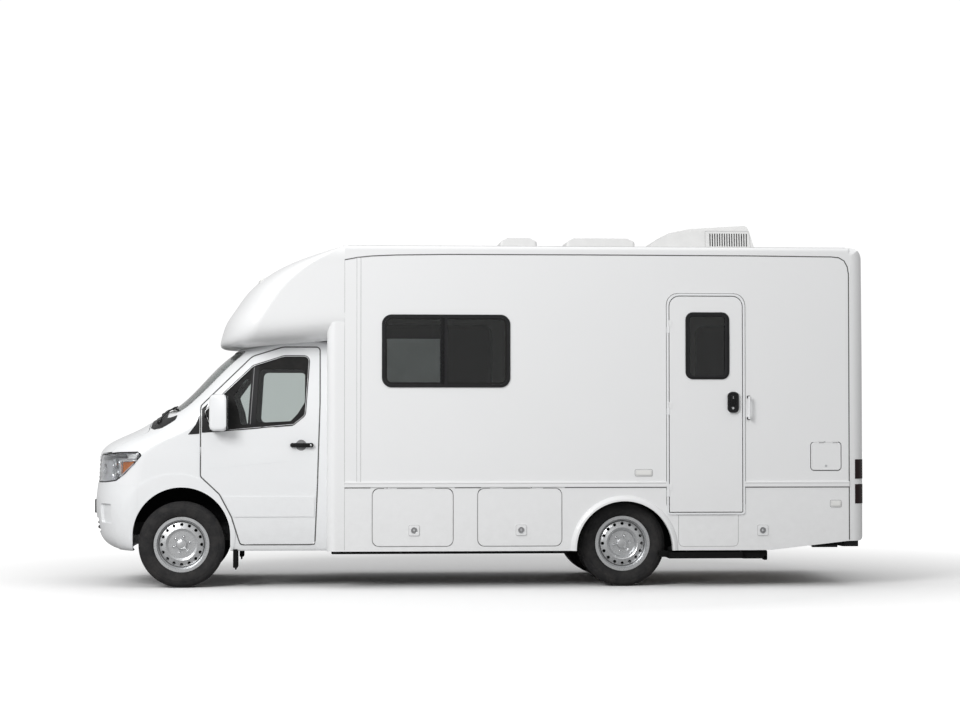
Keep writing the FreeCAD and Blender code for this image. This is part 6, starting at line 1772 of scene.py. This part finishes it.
@dataclass
class CoachSide(SideTrim):
    """Seams, window trim, lamps, locks, trim strips, low rails and a strip of painted shadow under the skirt on one
    side of the coach.
    """

    seam: float = 0.006
    roof_line: Line = (
        (-1.27, 3.076), (-1.148, 3.099), (-1.016, 3.113), (-0.791, 3.123), (-0.3, 3.131), (1.0, 3.133),
        (2.6, 3.131), (3.355, 3.125), (3.42, 3.118), (3.472, 3.088), (3.503, 3.03), (3.514, 2.96),
        (3.514, 1.7), (3.514, 0.44),
    )
    hatch_locks: tuple[float, ...] = (-0.61825, 0.388362)
    lock_z: float = 0.54

    def read(self) -> Skin:
        """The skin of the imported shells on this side."""
        return Skin(f"side_wall_{self.word}", f"side_skirt_{self.word}", "front_cap", "rear_cap", "roof_panel")

    def build(self) -> None:
        """Builds the side's trim, with the service plate, step panel and utility flap of the left one."""
        self.seams()
        self.windows()
        self.under()
        self.lamps()
        self.front_marker()
        self.hatches()
        if self.side is Side.LEFT:
            skirt = Skin("side_skirt_left")
            self.service_plate(skirt)
            self.step_panel(skirt)
            self.utility()

    def seams(self) -> None:
        """The dark roof and corner line, the front seam, the joint strip and the belt's shadow line."""
        self.line("roof_line", self.roof_line, FINISH.seam, self.seam * 1.7, 0.0008, 0.0018)
        edge = [(3.528, 3.05), (3.528, 0.44)]
        self.line("corner_bead", edge, FINISH.gelcoat, 0.014, 0.0022, 0.003)
        front = [(-1.27, 0.36), (-1.27, 3.074)]
        self.line("front_joint", front, FINISH.sealant, self.seam * 0.6, 0.0006, 0.0012)
        cover = [(-1.1375, 0.996), (-1.1375, 3.096)]
        self.line("joint_cover", cover, FINISH.gelcoat, 0.034, 0.003, 0.0036)
        for k, x in enumerate((-1.156, -1.119)):
            line = [(x, 0.996), (x, 3.096 + 0.003 * k)]
            self.line(f"joint_edge_{k}", line, FINISH.sealant, 0.0045, 0.0007, 0.0014)
        spans = ((-1.27, 1.76), (2.516, 3.51)) if self.side is Side.LEFT else ((-1.27, 3.51),)
        for k, (a, b) in enumerate(spans):
            self.line(f"belt_shadow_{k}", [(a, 0.9385), (b, 0.9385)], FINISH.seam, 0.0075, 0.0006, 0.0014)
            self.line(f"belt_groove_{k}", [(a, 0.978), (b, 0.978)], FINISH.sealant, 0.004, 0.0005, 0.0012)

    def under(self) -> None:
        """A black strip along the skirt's foot, partly the dark chassis seen beneath and partly painted shadow under
        the skirt, a dark plate inboard of the rear wheels, the front mudflap's moulding and the step's rail.
        """
        s = self.side.value
        # The first block, along the skirt's foot, is partly the dark chassis seen beneath and partly painted shadow
        # under the skirt.
        parts = [((-1.392, 1.04, 0.318), (0.83, 1.115, 0.374)), ((-2.312, 0.8, 0.185), (-2.266, 0.975, 0.36))]
        if self.side is Side.LEFT:
            parts += [((1.8, 1.0, 0.333), (2.69, 1.12, 0.374)),
                      ((2.492, 1.04, 0.262), (2.735, 1.118, 0.34)), ((2.698, 1.04, 0.248), (2.735, 1.118, 0.29)),
                      ((1.7, 1.0, 0.28), (1.8, 1.118, 0.336)), ((3.08, 1.02, 0.382), (3.48, 1.1, 0.42))]
        parts.append(((1.6, 0.535, 0.3), (1.93, 0.55, 0.62)))
        rails = []
        for low, high in parts:
            y0, y1 = sorted((s * low[1], s * high[1]))
            rails.append(new_block((low[0], y0, low[2]), (high[0], y1, high[2]), "y", 0.012, 0.004))
        add(f"under_rails_{self.word}", joined(*rails), FINISH.dark)

    def windows(self) -> None:
        """Inner gaskets, the slider's stile, its catch and the blinds."""
        s = self.side.value
        spans = [(-0.922, 0.285)] if self.side is Side.LEFT else [(-0.922, 0.285), (2.414, 2.974)]
        for k, (x0, x1) in enumerate(spans):
            inner = rect(x0 + 0.0315, x1 - 0.0315, 1.9115, 2.5335)
            add(f"window_gasket_{k}_{self.word}",
                standing(inner, self.look, s * 1.168, 0.0026, 0.062, 0.016, 0.3), FINISH.seal)
        y0, y1 = sorted((s * 1.1655, s * 1.169))
        stile = new_block((-0.374, y0, 1.913), (-0.333, y1, 2.532), "y", 0.003, 0.001)
        catch = new_block((-0.362, min(s * 1.169, s * 1.174), 2.19),
                          (-0.345, max(s * 1.169, s * 1.174), 2.26), "y", 0.006, 0.002)
        add(f"window_stile_{self.word}", joined(stile, catch), FINISH.gloss_black)
        blinds = [(-0.874, -0.374, 1.918, 2.337, FINISH.blind, "pale")] if self.side is Side.LEFT else [
            (-0.9, 0.262, 1.9, 2.545, FINISH.blackout, "front"), (2.436, 2.952, 1.9, 2.545, FINISH.blackout, "rear")]
        for low, high, foot, top, finish, name in blinds:
            y2, y3 = sorted((s * 1.154, s * 1.1572))
            add(f"window_blind_{name}_{self.word}", new_block((low, y2, foot), (high, y3, top), "y", 0.004), finish)

    def lamps(self) -> None:
        """The side markers, each a lens on a base with a fine line round it."""
        for k, (a0, a1, b0, b1) in enumerate(((1.466, 1.63, 1.046, 1.108), (3.331, 3.436, 0.75, 0.814))):
            base = rect(a0, a1, b0, b1)
            self.plate(f"side_marker_base_{k}", base, FINISH.roof_abs, 0.0055, 0.006, 0.03, 0.014)
            pad = 0.012
            lens = rect(a0 + pad, a1 - pad, b0 + pad, b1 - pad)
            self.plate(f"side_marker_lens_{k}", lens, FINISH.marker, 0.012, 0.0075, 0.02, 0.008)
            self.plate(f"side_marker_edge_{k}", rect(a0 - 0.003, a1 + 0.003, b0 - 0.003, b1 + 0.003),
                       FINISH.cup_grey, 0.0008, 0.0014, 0.03, 0.016, 0.004)

    def front_marker(self) -> None:
        """The small marker at the overcab's front corner."""
        cap = Skin("front_cap")
        reach = next((1.12 - k * 0.01 for k in range(60) if cap.hit(Look.FRONT, self.side.value * (1.12 - k * 0.01),
                                                                    2.908)[0].x < -2.05), 0.9)
        low, high = sorted((self.side.value * reach, self.side.value * (reach - 0.085)))
        for name, pad, lift, finish in (("base", 0.0, 0.006, FINISH.roof_abs), ("lens", 0.009, 0.014, FINISH.marker)):
            face = rect(low + pad, high - pad, 2.886 + pad, 2.93 - pad)
            add(f"front_marker_{name}_{self.word}", laid(cap, face, Look.FRONT, lift, lift + 0.004, 0.02, 0.01), finish)

    def round_lock(self, spot: Vector, out: Vector) -> tuple[Shape, Shape]:
        """A round twist lock: its bright ring and barrel, and the darker dish between them.

        Args:
            spot: The lock's middle.
            out: The way it faces.

        Returns:
            The bright parts and the dish.
        """
        ring = lathe([(0.0285, -0.001), (0.0315, 0.0018), (0.0305, 0.0038), (0.0275, 0.003), (0.0265, 0.0008)],
                     spot, out, 40)
        barrel = lathe([(0.01, 0.0006), (0.01, 0.0046), (0.0085, 0.0056), (0.0, 0.0056)], spot, out, 28)
        tab = new_block(spot + Vector((-0.0022, 0, -0.02)), spot + Vector((0.0022, 0, 0.02)) + out * 0.0048, "y", 0.001)
        dish = lathe([(0.0272, 0.001), (0.02, 0.0004), (0.01, 0.0008), (0.0, 0.0008)], spot, out, 40)
        return joined(ring, barrel, tab), dish

    def hatches(self) -> None:
        """A round lock on each baggage door's plate, and a thin line round the plate."""
        s = self.side.value
        for x, end in zip(self.hatch_locks, ("front", "rear")):
            door = f"baggage_door_{end}_{self.word}"
            skin = Skin(door)
            spot, _ = skin.hit(self.look, x, self.lock_z)
            x0, x1 = ((-1.006, -0.256), (-0.018, 0.768))[end == "rear"]
            gap = rounded([(x0 - 0.0025, 0.3925, 0.042),
                           (x1 + 0.0025, 0.3925, 0.042), (x1 + 0.0025, 0.9315, 0.042), (x0 - 0.0025, 0.9315, 0.042)])
            add(f"hatch_gap_{end}_{self.word}", strip(Skin(door, f"side_skirt_{self.word}"), gap,
                                                      self.look, 0.0044, -0.0028, 0.003, True, 0.01), FINISH.sealant)
            metal, dish = self.round_lock(spot, Vector((0, s, 0)))
            add(f"hatch_lock_{end}_{self.word}", metal, FINISH.aluminium, door)
            add(f"hatch_lock_dish_{end}_{self.word}", dish, FINISH.cup_grey, door)
            half = 0.0515
            bm = standing(rect(x - half, x + half, self.lock_z - half, self.lock_z + half),
                          self.look, s * 1.1655, 0.001, 0.014, 0.004, 1.0)
            add(f"hatch_plate_line_{end}_{self.word}", bm, FINISH.sealant, door)

    def service_plate(self, skin: Skin) -> None:
        """The service hatch's square plate with its round lock, on the skirt.

        Args:
            skin: The skirt it lies on.
        """
        x, z, half = 2.6825, 0.532, 0.048
        square = rect(x - half, x + half, z - half, z + half)
        add("service_plate", laid(skin, square, self.look, 0.009, 0.0095, 0.05, 0.012), FINISH.gelcoat)
        spot, _ = skin.hit(self.look, x, z)
        metal, dish = self.round_lock(spot + Vector((0, self.look.vector.y * -0.009, 0)), -self.look.vector)
        add("service_lock", metal, FINISH.aluminium)
        add("service_lock_dish", dish, FINISH.cup_grey)
        line = rect(x - 0.0515, x + 0.0515, z - 0.0515, z + 0.0515)
        add("service_plate_line", laid(skin, line, self.look, 0.0006, 0.0012, 0.05, 0.014, 0.004), FINISH.sealant)

    def step_panel(self, skin: Skin) -> None:
        """The outline of the removable panel under the entry door.

        Args:
            skin: The skirt it lies on.
        """
        path = [(1.879, 0.678), (1.879, 0.43), (1.885, 0.405), (1.9, 0.388),
                (1.925, 0.382), (2.403, 0.382), (2.428, 0.388), (2.443, 0.405), (2.449, 0.43), (2.449, 0.678)]
        add("step_panel_line", strip(skin, path, Look.LEFT, 0.005, 0.0006, 0.0012), FINISH.sealant)

    def utility(self) -> None:
        """A key lock on the utility flap and the thin rim that stands round its edge."""
        skin = Skin("utility_door")
        spot, _ = skin.hit(Look.LEFT, 3.29, 1.14)
        lock = lathe([(0.011, -0.001), (0.0125, 0.0015), (0.0105, 0.0026), (0.008, 0.0016), (0.0, 0.0016)],
                     spot, (0, -1, 0), 28)
        add("utility_lock", lock, FINISH.aluminium, "utility_door")
        rim = rect(3.154, 3.427, 1.106, 1.356)
        add("utility_gap", strip(skin, grown(rounded([(a, b, 0.026) for a, b in rim]), 0.003),
                                 Look.LEFT, 0.006, 0.001, 0.002, True, 0.004), FINISH.cup_grey)
        add("utility_rim",
            laid(skin, rim, Look.LEFT, 0.0012, 0.0016, 0.1, 0.026, 0.007), FINISH.gelcoat, "utility_door")


@dataclass
class EntryDoor:
    """The entry door's window frame, latch, seals and inner panel, and the grab handle's feet."""

    body: str = "entry_door"
    leaf: tuple[float, float, float, float] = (1.795, 2.487, 0.708, 2.743)

    def build(self) -> None:
        """Builds the entry."""
        bm = standing(rect(1.946, 2.365, 1.959, 2.594), Look.LEFT, -1.184, 0.0095, 0.07, 0.042, 0.5)
        rims = [e for e in bm.edges if e.calc_face_angle(0.0) > 0.8 and all(v.co.y < -1.18 for v in e.verts)]
        bmesh.ops.bevel(bm, geom=rims, offset=0.003, segments=2, profile=0.5, affect="EDGES", material=-1)
        add("entry_window_frame", bm, FINISH.trim_black, self.body)
        groove = standing(rect(1.959, 2.352, 1.972, 2.581), Look.LEFT, -1.1852, 0.0015, 0.06, 0.0045, 0.5)
        add("entry_window_groove", groove, FINISH.gloss_black, self.body)
        self.latch()
        self.frame_lines()
        self.grab()
        self.inside()

    def latch(self) -> None:
        """The black latch: its cover with a recess, the paddle with a painted highlight on it, and the key barrel."""
        cover = new_block((2.3465, -1.2, 1.6435), (2.452, -1.174, 1.8405), "y", 0.04, 0.0, 8)
        face = [f for f in cover.faces if f.normal.y < -0.9]
        bmesh.ops.inset_region(cover, faces=face, thickness=0.016, depth=0.0, use_even_offset=True)
        bmesh.ops.inset_region(cover, faces=face, thickness=0.004, depth=-0.0075, use_even_offset=True)
        add("entry_latch_cover", cover, FINISH.trim_black, self.body)
        paddle = new_block((2.374, -1.201, 1.712), (2.422, -1.191, 1.81), "y", 0.014, 0.003)
        add("entry_latch_paddle", paddle, FINISH.gloss_black, self.body)
        barrel = lathe([(0.011, -0.006), (0.011, 0.003), (0.0095, 0.0042), (0.0, 0.0042)],
                       (2.398, -1.1935, 1.686), (0, -1, 0), 28)
        add("entry_latch_barrel", barrel, FINISH.bright, self.body)
        # A light grey strip on the paddle is a painted highlight.
        shine = new_block((2.394, -1.2025, 1.775), (2.402, -1.2005, 1.8), "y", 0.003)
        add("entry_latch_glint", shine, FINISH.cup_grey, self.body)

    def frame_lines(self) -> None:
        """The dark rubber in the door's gap and the sealant line outside the frame."""
        x0, x1, z0, z1 = self.leaf
        for name, grow, at, thick, radius, band, finish in (
            ("entry_frame_sealant", 0.0315, -1.1662, 0.0014, 0.11, 0.0045, FINISH.seam),
            ("entry_gap_seal", 0.007, -1.15, 0.01, 0.1, 0.005, FINISH.seal),
        ):
            corners = rect(x0 - grow, x1 + grow, z0 - grow, z1 + grow)
            add(name, standing(corners, Look.LEFT, at, thick, radius, band, 0.5), finish)

    def grab(self) -> None:
        """Dark feet at both ends of the grab handle."""
        feet = [new_block((2.534, -1.179, z - 0.015), (2.564, -1.1655, z + 0.015), "y", 0.01, 0.003)
                for z in (1.592, 1.79)]
        add("grab_handle_feet", joined(*feet), FINISH.trim_black)

    def inside(self) -> None:
        """The door's lined inner face with a pocket."""
        skin = Skin("entry_door")
        lining = rect(1.86, 2.42, 0.77, 1.9)
        add("entry_lining", laid(skin, lining, Look.RIGHT, 0.006, 0.0068, 0.3, 0.03), FINISH.locker_grey, self.body)
        pocket = rect(1.92, 2.3, 0.86, 1.06)
        add("entry_pocket", laid(skin, pocket, Look.RIGHT, 0.045, 0.04, 0.3, 0.02), FINISH.dash_grey, self.body)


@dataclass
class Rear:
    """Rear window gasket, blank plate, upper stop lamp, tail-lamp lines, reflectors and bumper detail."""

    def build(self) -> None:
        """Builds the tail's trim."""
        cap = Skin("rear_cap")
        glass = Skin("window_panes")
        ring = rect(-0.519, 0.519, 1.961, 2.459)
        add("rear_window_gasket", laid(glass, ring, Look.REAR, 0.003, 0.0034, 0.3, 0.06, 0.016), FINISH.seal)
        lamps = Skin("tail_lamps")
        for side in Side:
            s = side.value
            for k, (z0, z1) in enumerate(((0.783, 0.966), (1.018, 1.201))):
                a, b = sorted((s * 0.93, s * 1.11))
                corners = rect(a, b, z0 + 0.006, z1 - 0.006)
                add(f"tail_lamp_rim_{k}_{side.word}",
                    laid(lamps, corners, Look.REAR, 0.0006, 0.0014, 0.04, 0.01, 0.007), FINISH.gloss_black)
                inner = rect(a + 0.022, b - 0.022, z0 + 0.06, z1 - 0.06)
                add(f"tail_lamp_window_{k}_{side.word}", laid(lamps, inner, Look.REAR, 0.0004, 0.0014, 0.04, 0.006),
                    FINISH.marker if k == 0 else FINISH.amber)
            a, b = sorted((s * 0.78, s * 0.88))
            reflector = rect(a, b, 0.56, 0.602)
            add(f"rear_reflector_{side.word}",
                laid(cap, reflector, Look.REAR, 0.006, 0.0065, 0.05, 0.006), FINISH.stop_red)
        stop = rect(-0.2, 0.2, 2.9, 2.936)
        add("upper_stop_lamp", laid(cap, stop, Look.REAR, 0.007, 0.0076, 0.06, 0.012), FINISH.stop_red)
        holder = rect(-0.27, 0.27, 0.77, 0.9)
        add("rear_plate_holder", laid(cap, holder, Look.REAR, 0.006, 0.0066, 0.1, 0.014), FINISH.trim_black)
        blank = rect(-0.26, 0.26, 0.78, 0.89)
        add("rear_plate_blank", laid(cap, blank, Look.REAR, 0.0078, 0.0018, 0.1, 0.012), FINISH.plate)
        shade = new_block((3.648, -0.11, 0.912), (3.67, 0.11, 0.936), "x", 0.006, 0.003)
        add("plate_light", shade, FINISH.trim_black)
        add("rear_belt_line",
            strip(cap, [(-1.05, 0.99), (1.05, 0.99)], Look.REAR, 0.006, 0.0006, 0.0014), FINISH.sealant)
        self.bumper()

    def bumper(self) -> None:
        """Tread ribs on the rear bumper's top."""
        ribs = [new_block((3.56 + 0.018 * k, -0.95, 0.4297), (3.568 + 0.018 * k, 0.95, 0.432), "y", 0.001)
                for k in range(4)]
        add("bumper_tread", joined(*ribs), FINISH.dark)


@dataclass
class RoofKit:
    """Dark plates in the louvre slots as painted shade, painted shadow under the roof unit and the fan vent, the roof
    unit's screws, the vents' beads and ribs, and the roof's seams.
    """

    slot_x: float = 2.3206
    slot_pitch: float = 0.024075
    slots: int = 16

    def build(self) -> None:
        """Builds the roof's trim."""
        edges = [self.slot_x + i * self.slot_pitch for i in range(self.slots)]
        # Dark plates set in the louvre slots are painted shade.
        slot_shades = [new_block((x + 0.0002, 0.319, 3.283), (x + 0.0118, 0.3225, 3.4085), "y") for x in edges]
        add("louvre_beds", doubled(joined(*slot_shades)), FINISH.dark)
        self.gaskets()
        self.covers()
        roof = Skin("roof_panel")
        for k, x in enumerate((-1.26, 3.358)):
            add(f"roof_seam_{k}", strip(roof, [(x, -1.1), (x, 1.1)], Look.TOP, 0.03, 0.0012, 0.002), FINISH.sealant)
        for side in Side:
            y = side.value * 1.135
            add(f"roof_edge_bead_{side.word}",
                strip(roof, [(-1.24, y), (3.49, y)], Look.TOP, 0.012, 0.0014, 0.0022), FINISH.sealant)

    def gaskets(self) -> None:
        """Dark strips of painted shadow under the roof unit and under the fan vent's lid, and a bead of sealant round
        each vent base.
        """
        for name, x0, x1, half, thick, finish in (
            # The dark line under the roof unit and the dark foot under the fan vent's lid are painted shadow.
            ("roof_unit_gasket", 1.72, 2.772, 0.36, 0.01, FINISH.seam),
            ("small_vent_bead", 0.272, 0.628, 0.208, 0.006, FINISH.sealant),
            ("fan_vent_bead", 0.928, 1.596, 0.208, 0.006, FINISH.sealant),
            ("fan_vent_foot", 0.936, 1.592, 0.202, 0.04, FINISH.seam),
        ):
            grow = 0.004 if "gasket" in name else 0.012
            bm = new_block((x0 - grow, -half - grow, 3.214), (x1 + grow, half + grow, 3.215 + thick), "z", 0.03, 0.002)
            add(name, bm, finish)

    def covers(self) -> None:
        """Screws along the roof unit's shroud and the moulded ribs on the vent lids."""
        unit = Skin("roof_aircon")
        screws = []
        for side in Side:
            for x in (1.96, 2.24, 2.735):
                spot, normal = unit.hit(side.look, x, 3.245)
                screws.append(lathe([(0.0, 0.0022), (0.0065, 0.0018), (0.008, -0.0005)], spot, normal, 18))
        add("roof_unit_screws", joined(*screws), FINISH.aluminium)
        panel = [(2.275, 3.252), (2.73, 3.252), (2.715, 3.435), (2.275, 3.435)]
        for side in Side:
            add(f"louvre_panel_line_{side.word}",
                laid(unit, panel, side.look, 0.0007, 0.0014, 0.3, 0.014, 0.004), FINISH.sealant)
        for lid, x0, x1 in (("small_vent_lid", 0.31, 0.59), ("fan_vent_lid", 0.98, 1.54)):
            skin = Skin(lid)
            for k in range(3):
                y = -0.11 + 0.11 * k
                add(f"{lid}_rib_{k}",
                    strip(skin, [(x0, y), (x1, y)], Look.TOP, 0.016, 0.003, 0.0036), FINISH.roof_abs, lid)


@dataclass
class Studio:
    """Plain floor, soft light and the camera at the photograph's place."""

    lens: float = 86.25
    surround: float = 0.56
    bounce: float = 0.42
    white: float = 1.04
    place: Vector = field(default_factory=lambda: Vector((-1.5076, -22.7249, 1.5726)))
    aim: Vector = field(default_factory=lambda: Vector((0.0, -1.165, 2.1385)))

    def build(self) -> None:
        """Builds the stage."""
        self.floor()
        self.light()
        self.camera()

    def floor(self) -> None:
        """A matt floor: plain white to the camera, and greyer in what it throws back at the vehicle."""
        bm = bmesh.new()
        bmesh.ops.create_grid(bm, x_segments=4, y_segments=4, size=90.0)
        mesh = bpy.data.meshes.new("studio_floor")
        bm.to_mesh(mesh)
        bm.free()
        floor = bpy.data.objects.new("studio_floor", mesh)
        bpy.context.scene.collection.objects.link(floor)
        graph = Graph("studio_floor_white")
        graph.set(Roughness=0.9, Specular_IOR_Level=0.1)
        seen = graph.node("LightPath", "Is Camera Ray", {})
        graph.colour(graph.mixed(seen, (self.bounce,) * 3, (0.93, 0.93, 0.93)))
        away = graph.node("VectorMath", "Value", {0: graph.place}, operation="LENGTH")
        graph.set(Emission_Color=(1.0, 1.0, 1.0))
        glow = graph.math("MULTIPLY", graph.ranged(away, 3.8, 9.0, 0.0, 0.6), seen)
        graph.feed(graph.shader.inputs["Emission Strength"], glow)
        mesh.materials.append(graph.material)

    def light(self) -> None:
        """A surround that is white to the camera and dimmer as light, with two large soft lamps."""
        world = bpy.data.worlds.new("studio")
        world.use_nodes = True
        wiring = Wiring(world.node_tree, None)
        seen = wiring.node("LightPath", "Is Camera Ray", {})
        back = world.node_tree.nodes["Background"].inputs
        wiring.feed(back["Strength"], wiring.ranged(seen, 0.0, 1.0, self.surround, self.white))
        back["Color"].default_value = (1.0, 1.0, 1.0, 1.0)
        bpy.context.scene.world = world
        for name, spot, size, power in (
            ("overhead", Vector((0.0, -2.0, 9.0)), 12.0, 240.0),
            ("front_soft", Vector((-9.5, -14.0, 9.5)), 7.0, 1780.0),
        ):
            data = bpy.data.lights.new(name, "AREA")
            data.size = size
            data.energy = power
            lamp = bpy.data.objects.new(name, data)
            lamp.location = spot
            lamp.rotation_mode = "QUATERNION"
            lamp.rotation_quaternion = (Vector((0, 0, 1.6)) - spot).to_track_quat("-Z", "Y")
            bpy.context.scene.collection.objects.link(lamp)

    def camera(self) -> None:
        """The camera, far back with a long lens, a little low and turned."""
        data = bpy.data.cameras.new("photo_camera")
        data.sensor_width = 36.0
        data.lens = self.lens
        data.clip_end = 200.0
        camera = bpy.data.objects.new("photo_camera", data)
        camera.location = self.place
        camera.rotation_mode = "QUATERNION"
        camera.rotation_quaternion = (self.aim - self.place).to_track_quat("-Z", "Y")
        bpy.context.scene.collection.objects.link(camera)
        bpy.context.scene.camera = camera
        bpy.context.scene.view_settings.view_transform = "Standard"


def main() -> None:
    """Builds the whole scene in order."""
    logging.basicConfig(level=logging.INFO, format="%(name)s %(message)s")
    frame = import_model()
    Skin.nodes = frame["nodes"]
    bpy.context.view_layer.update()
    PackedFinishes().dress()
    for group in (SeatPads(), Wheels(), Headlamps(), Nose(), CabDoor(Side.LEFT), CabDoor(Side.RIGHT), CabRoom(),
                  CoachSide(Side.LEFT), CoachSide(Side.RIGHT), EntryDoor(), Rear(), RoofKit(), Studio()):
        group.build()
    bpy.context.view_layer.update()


if __name__ == "__main__":
    main()
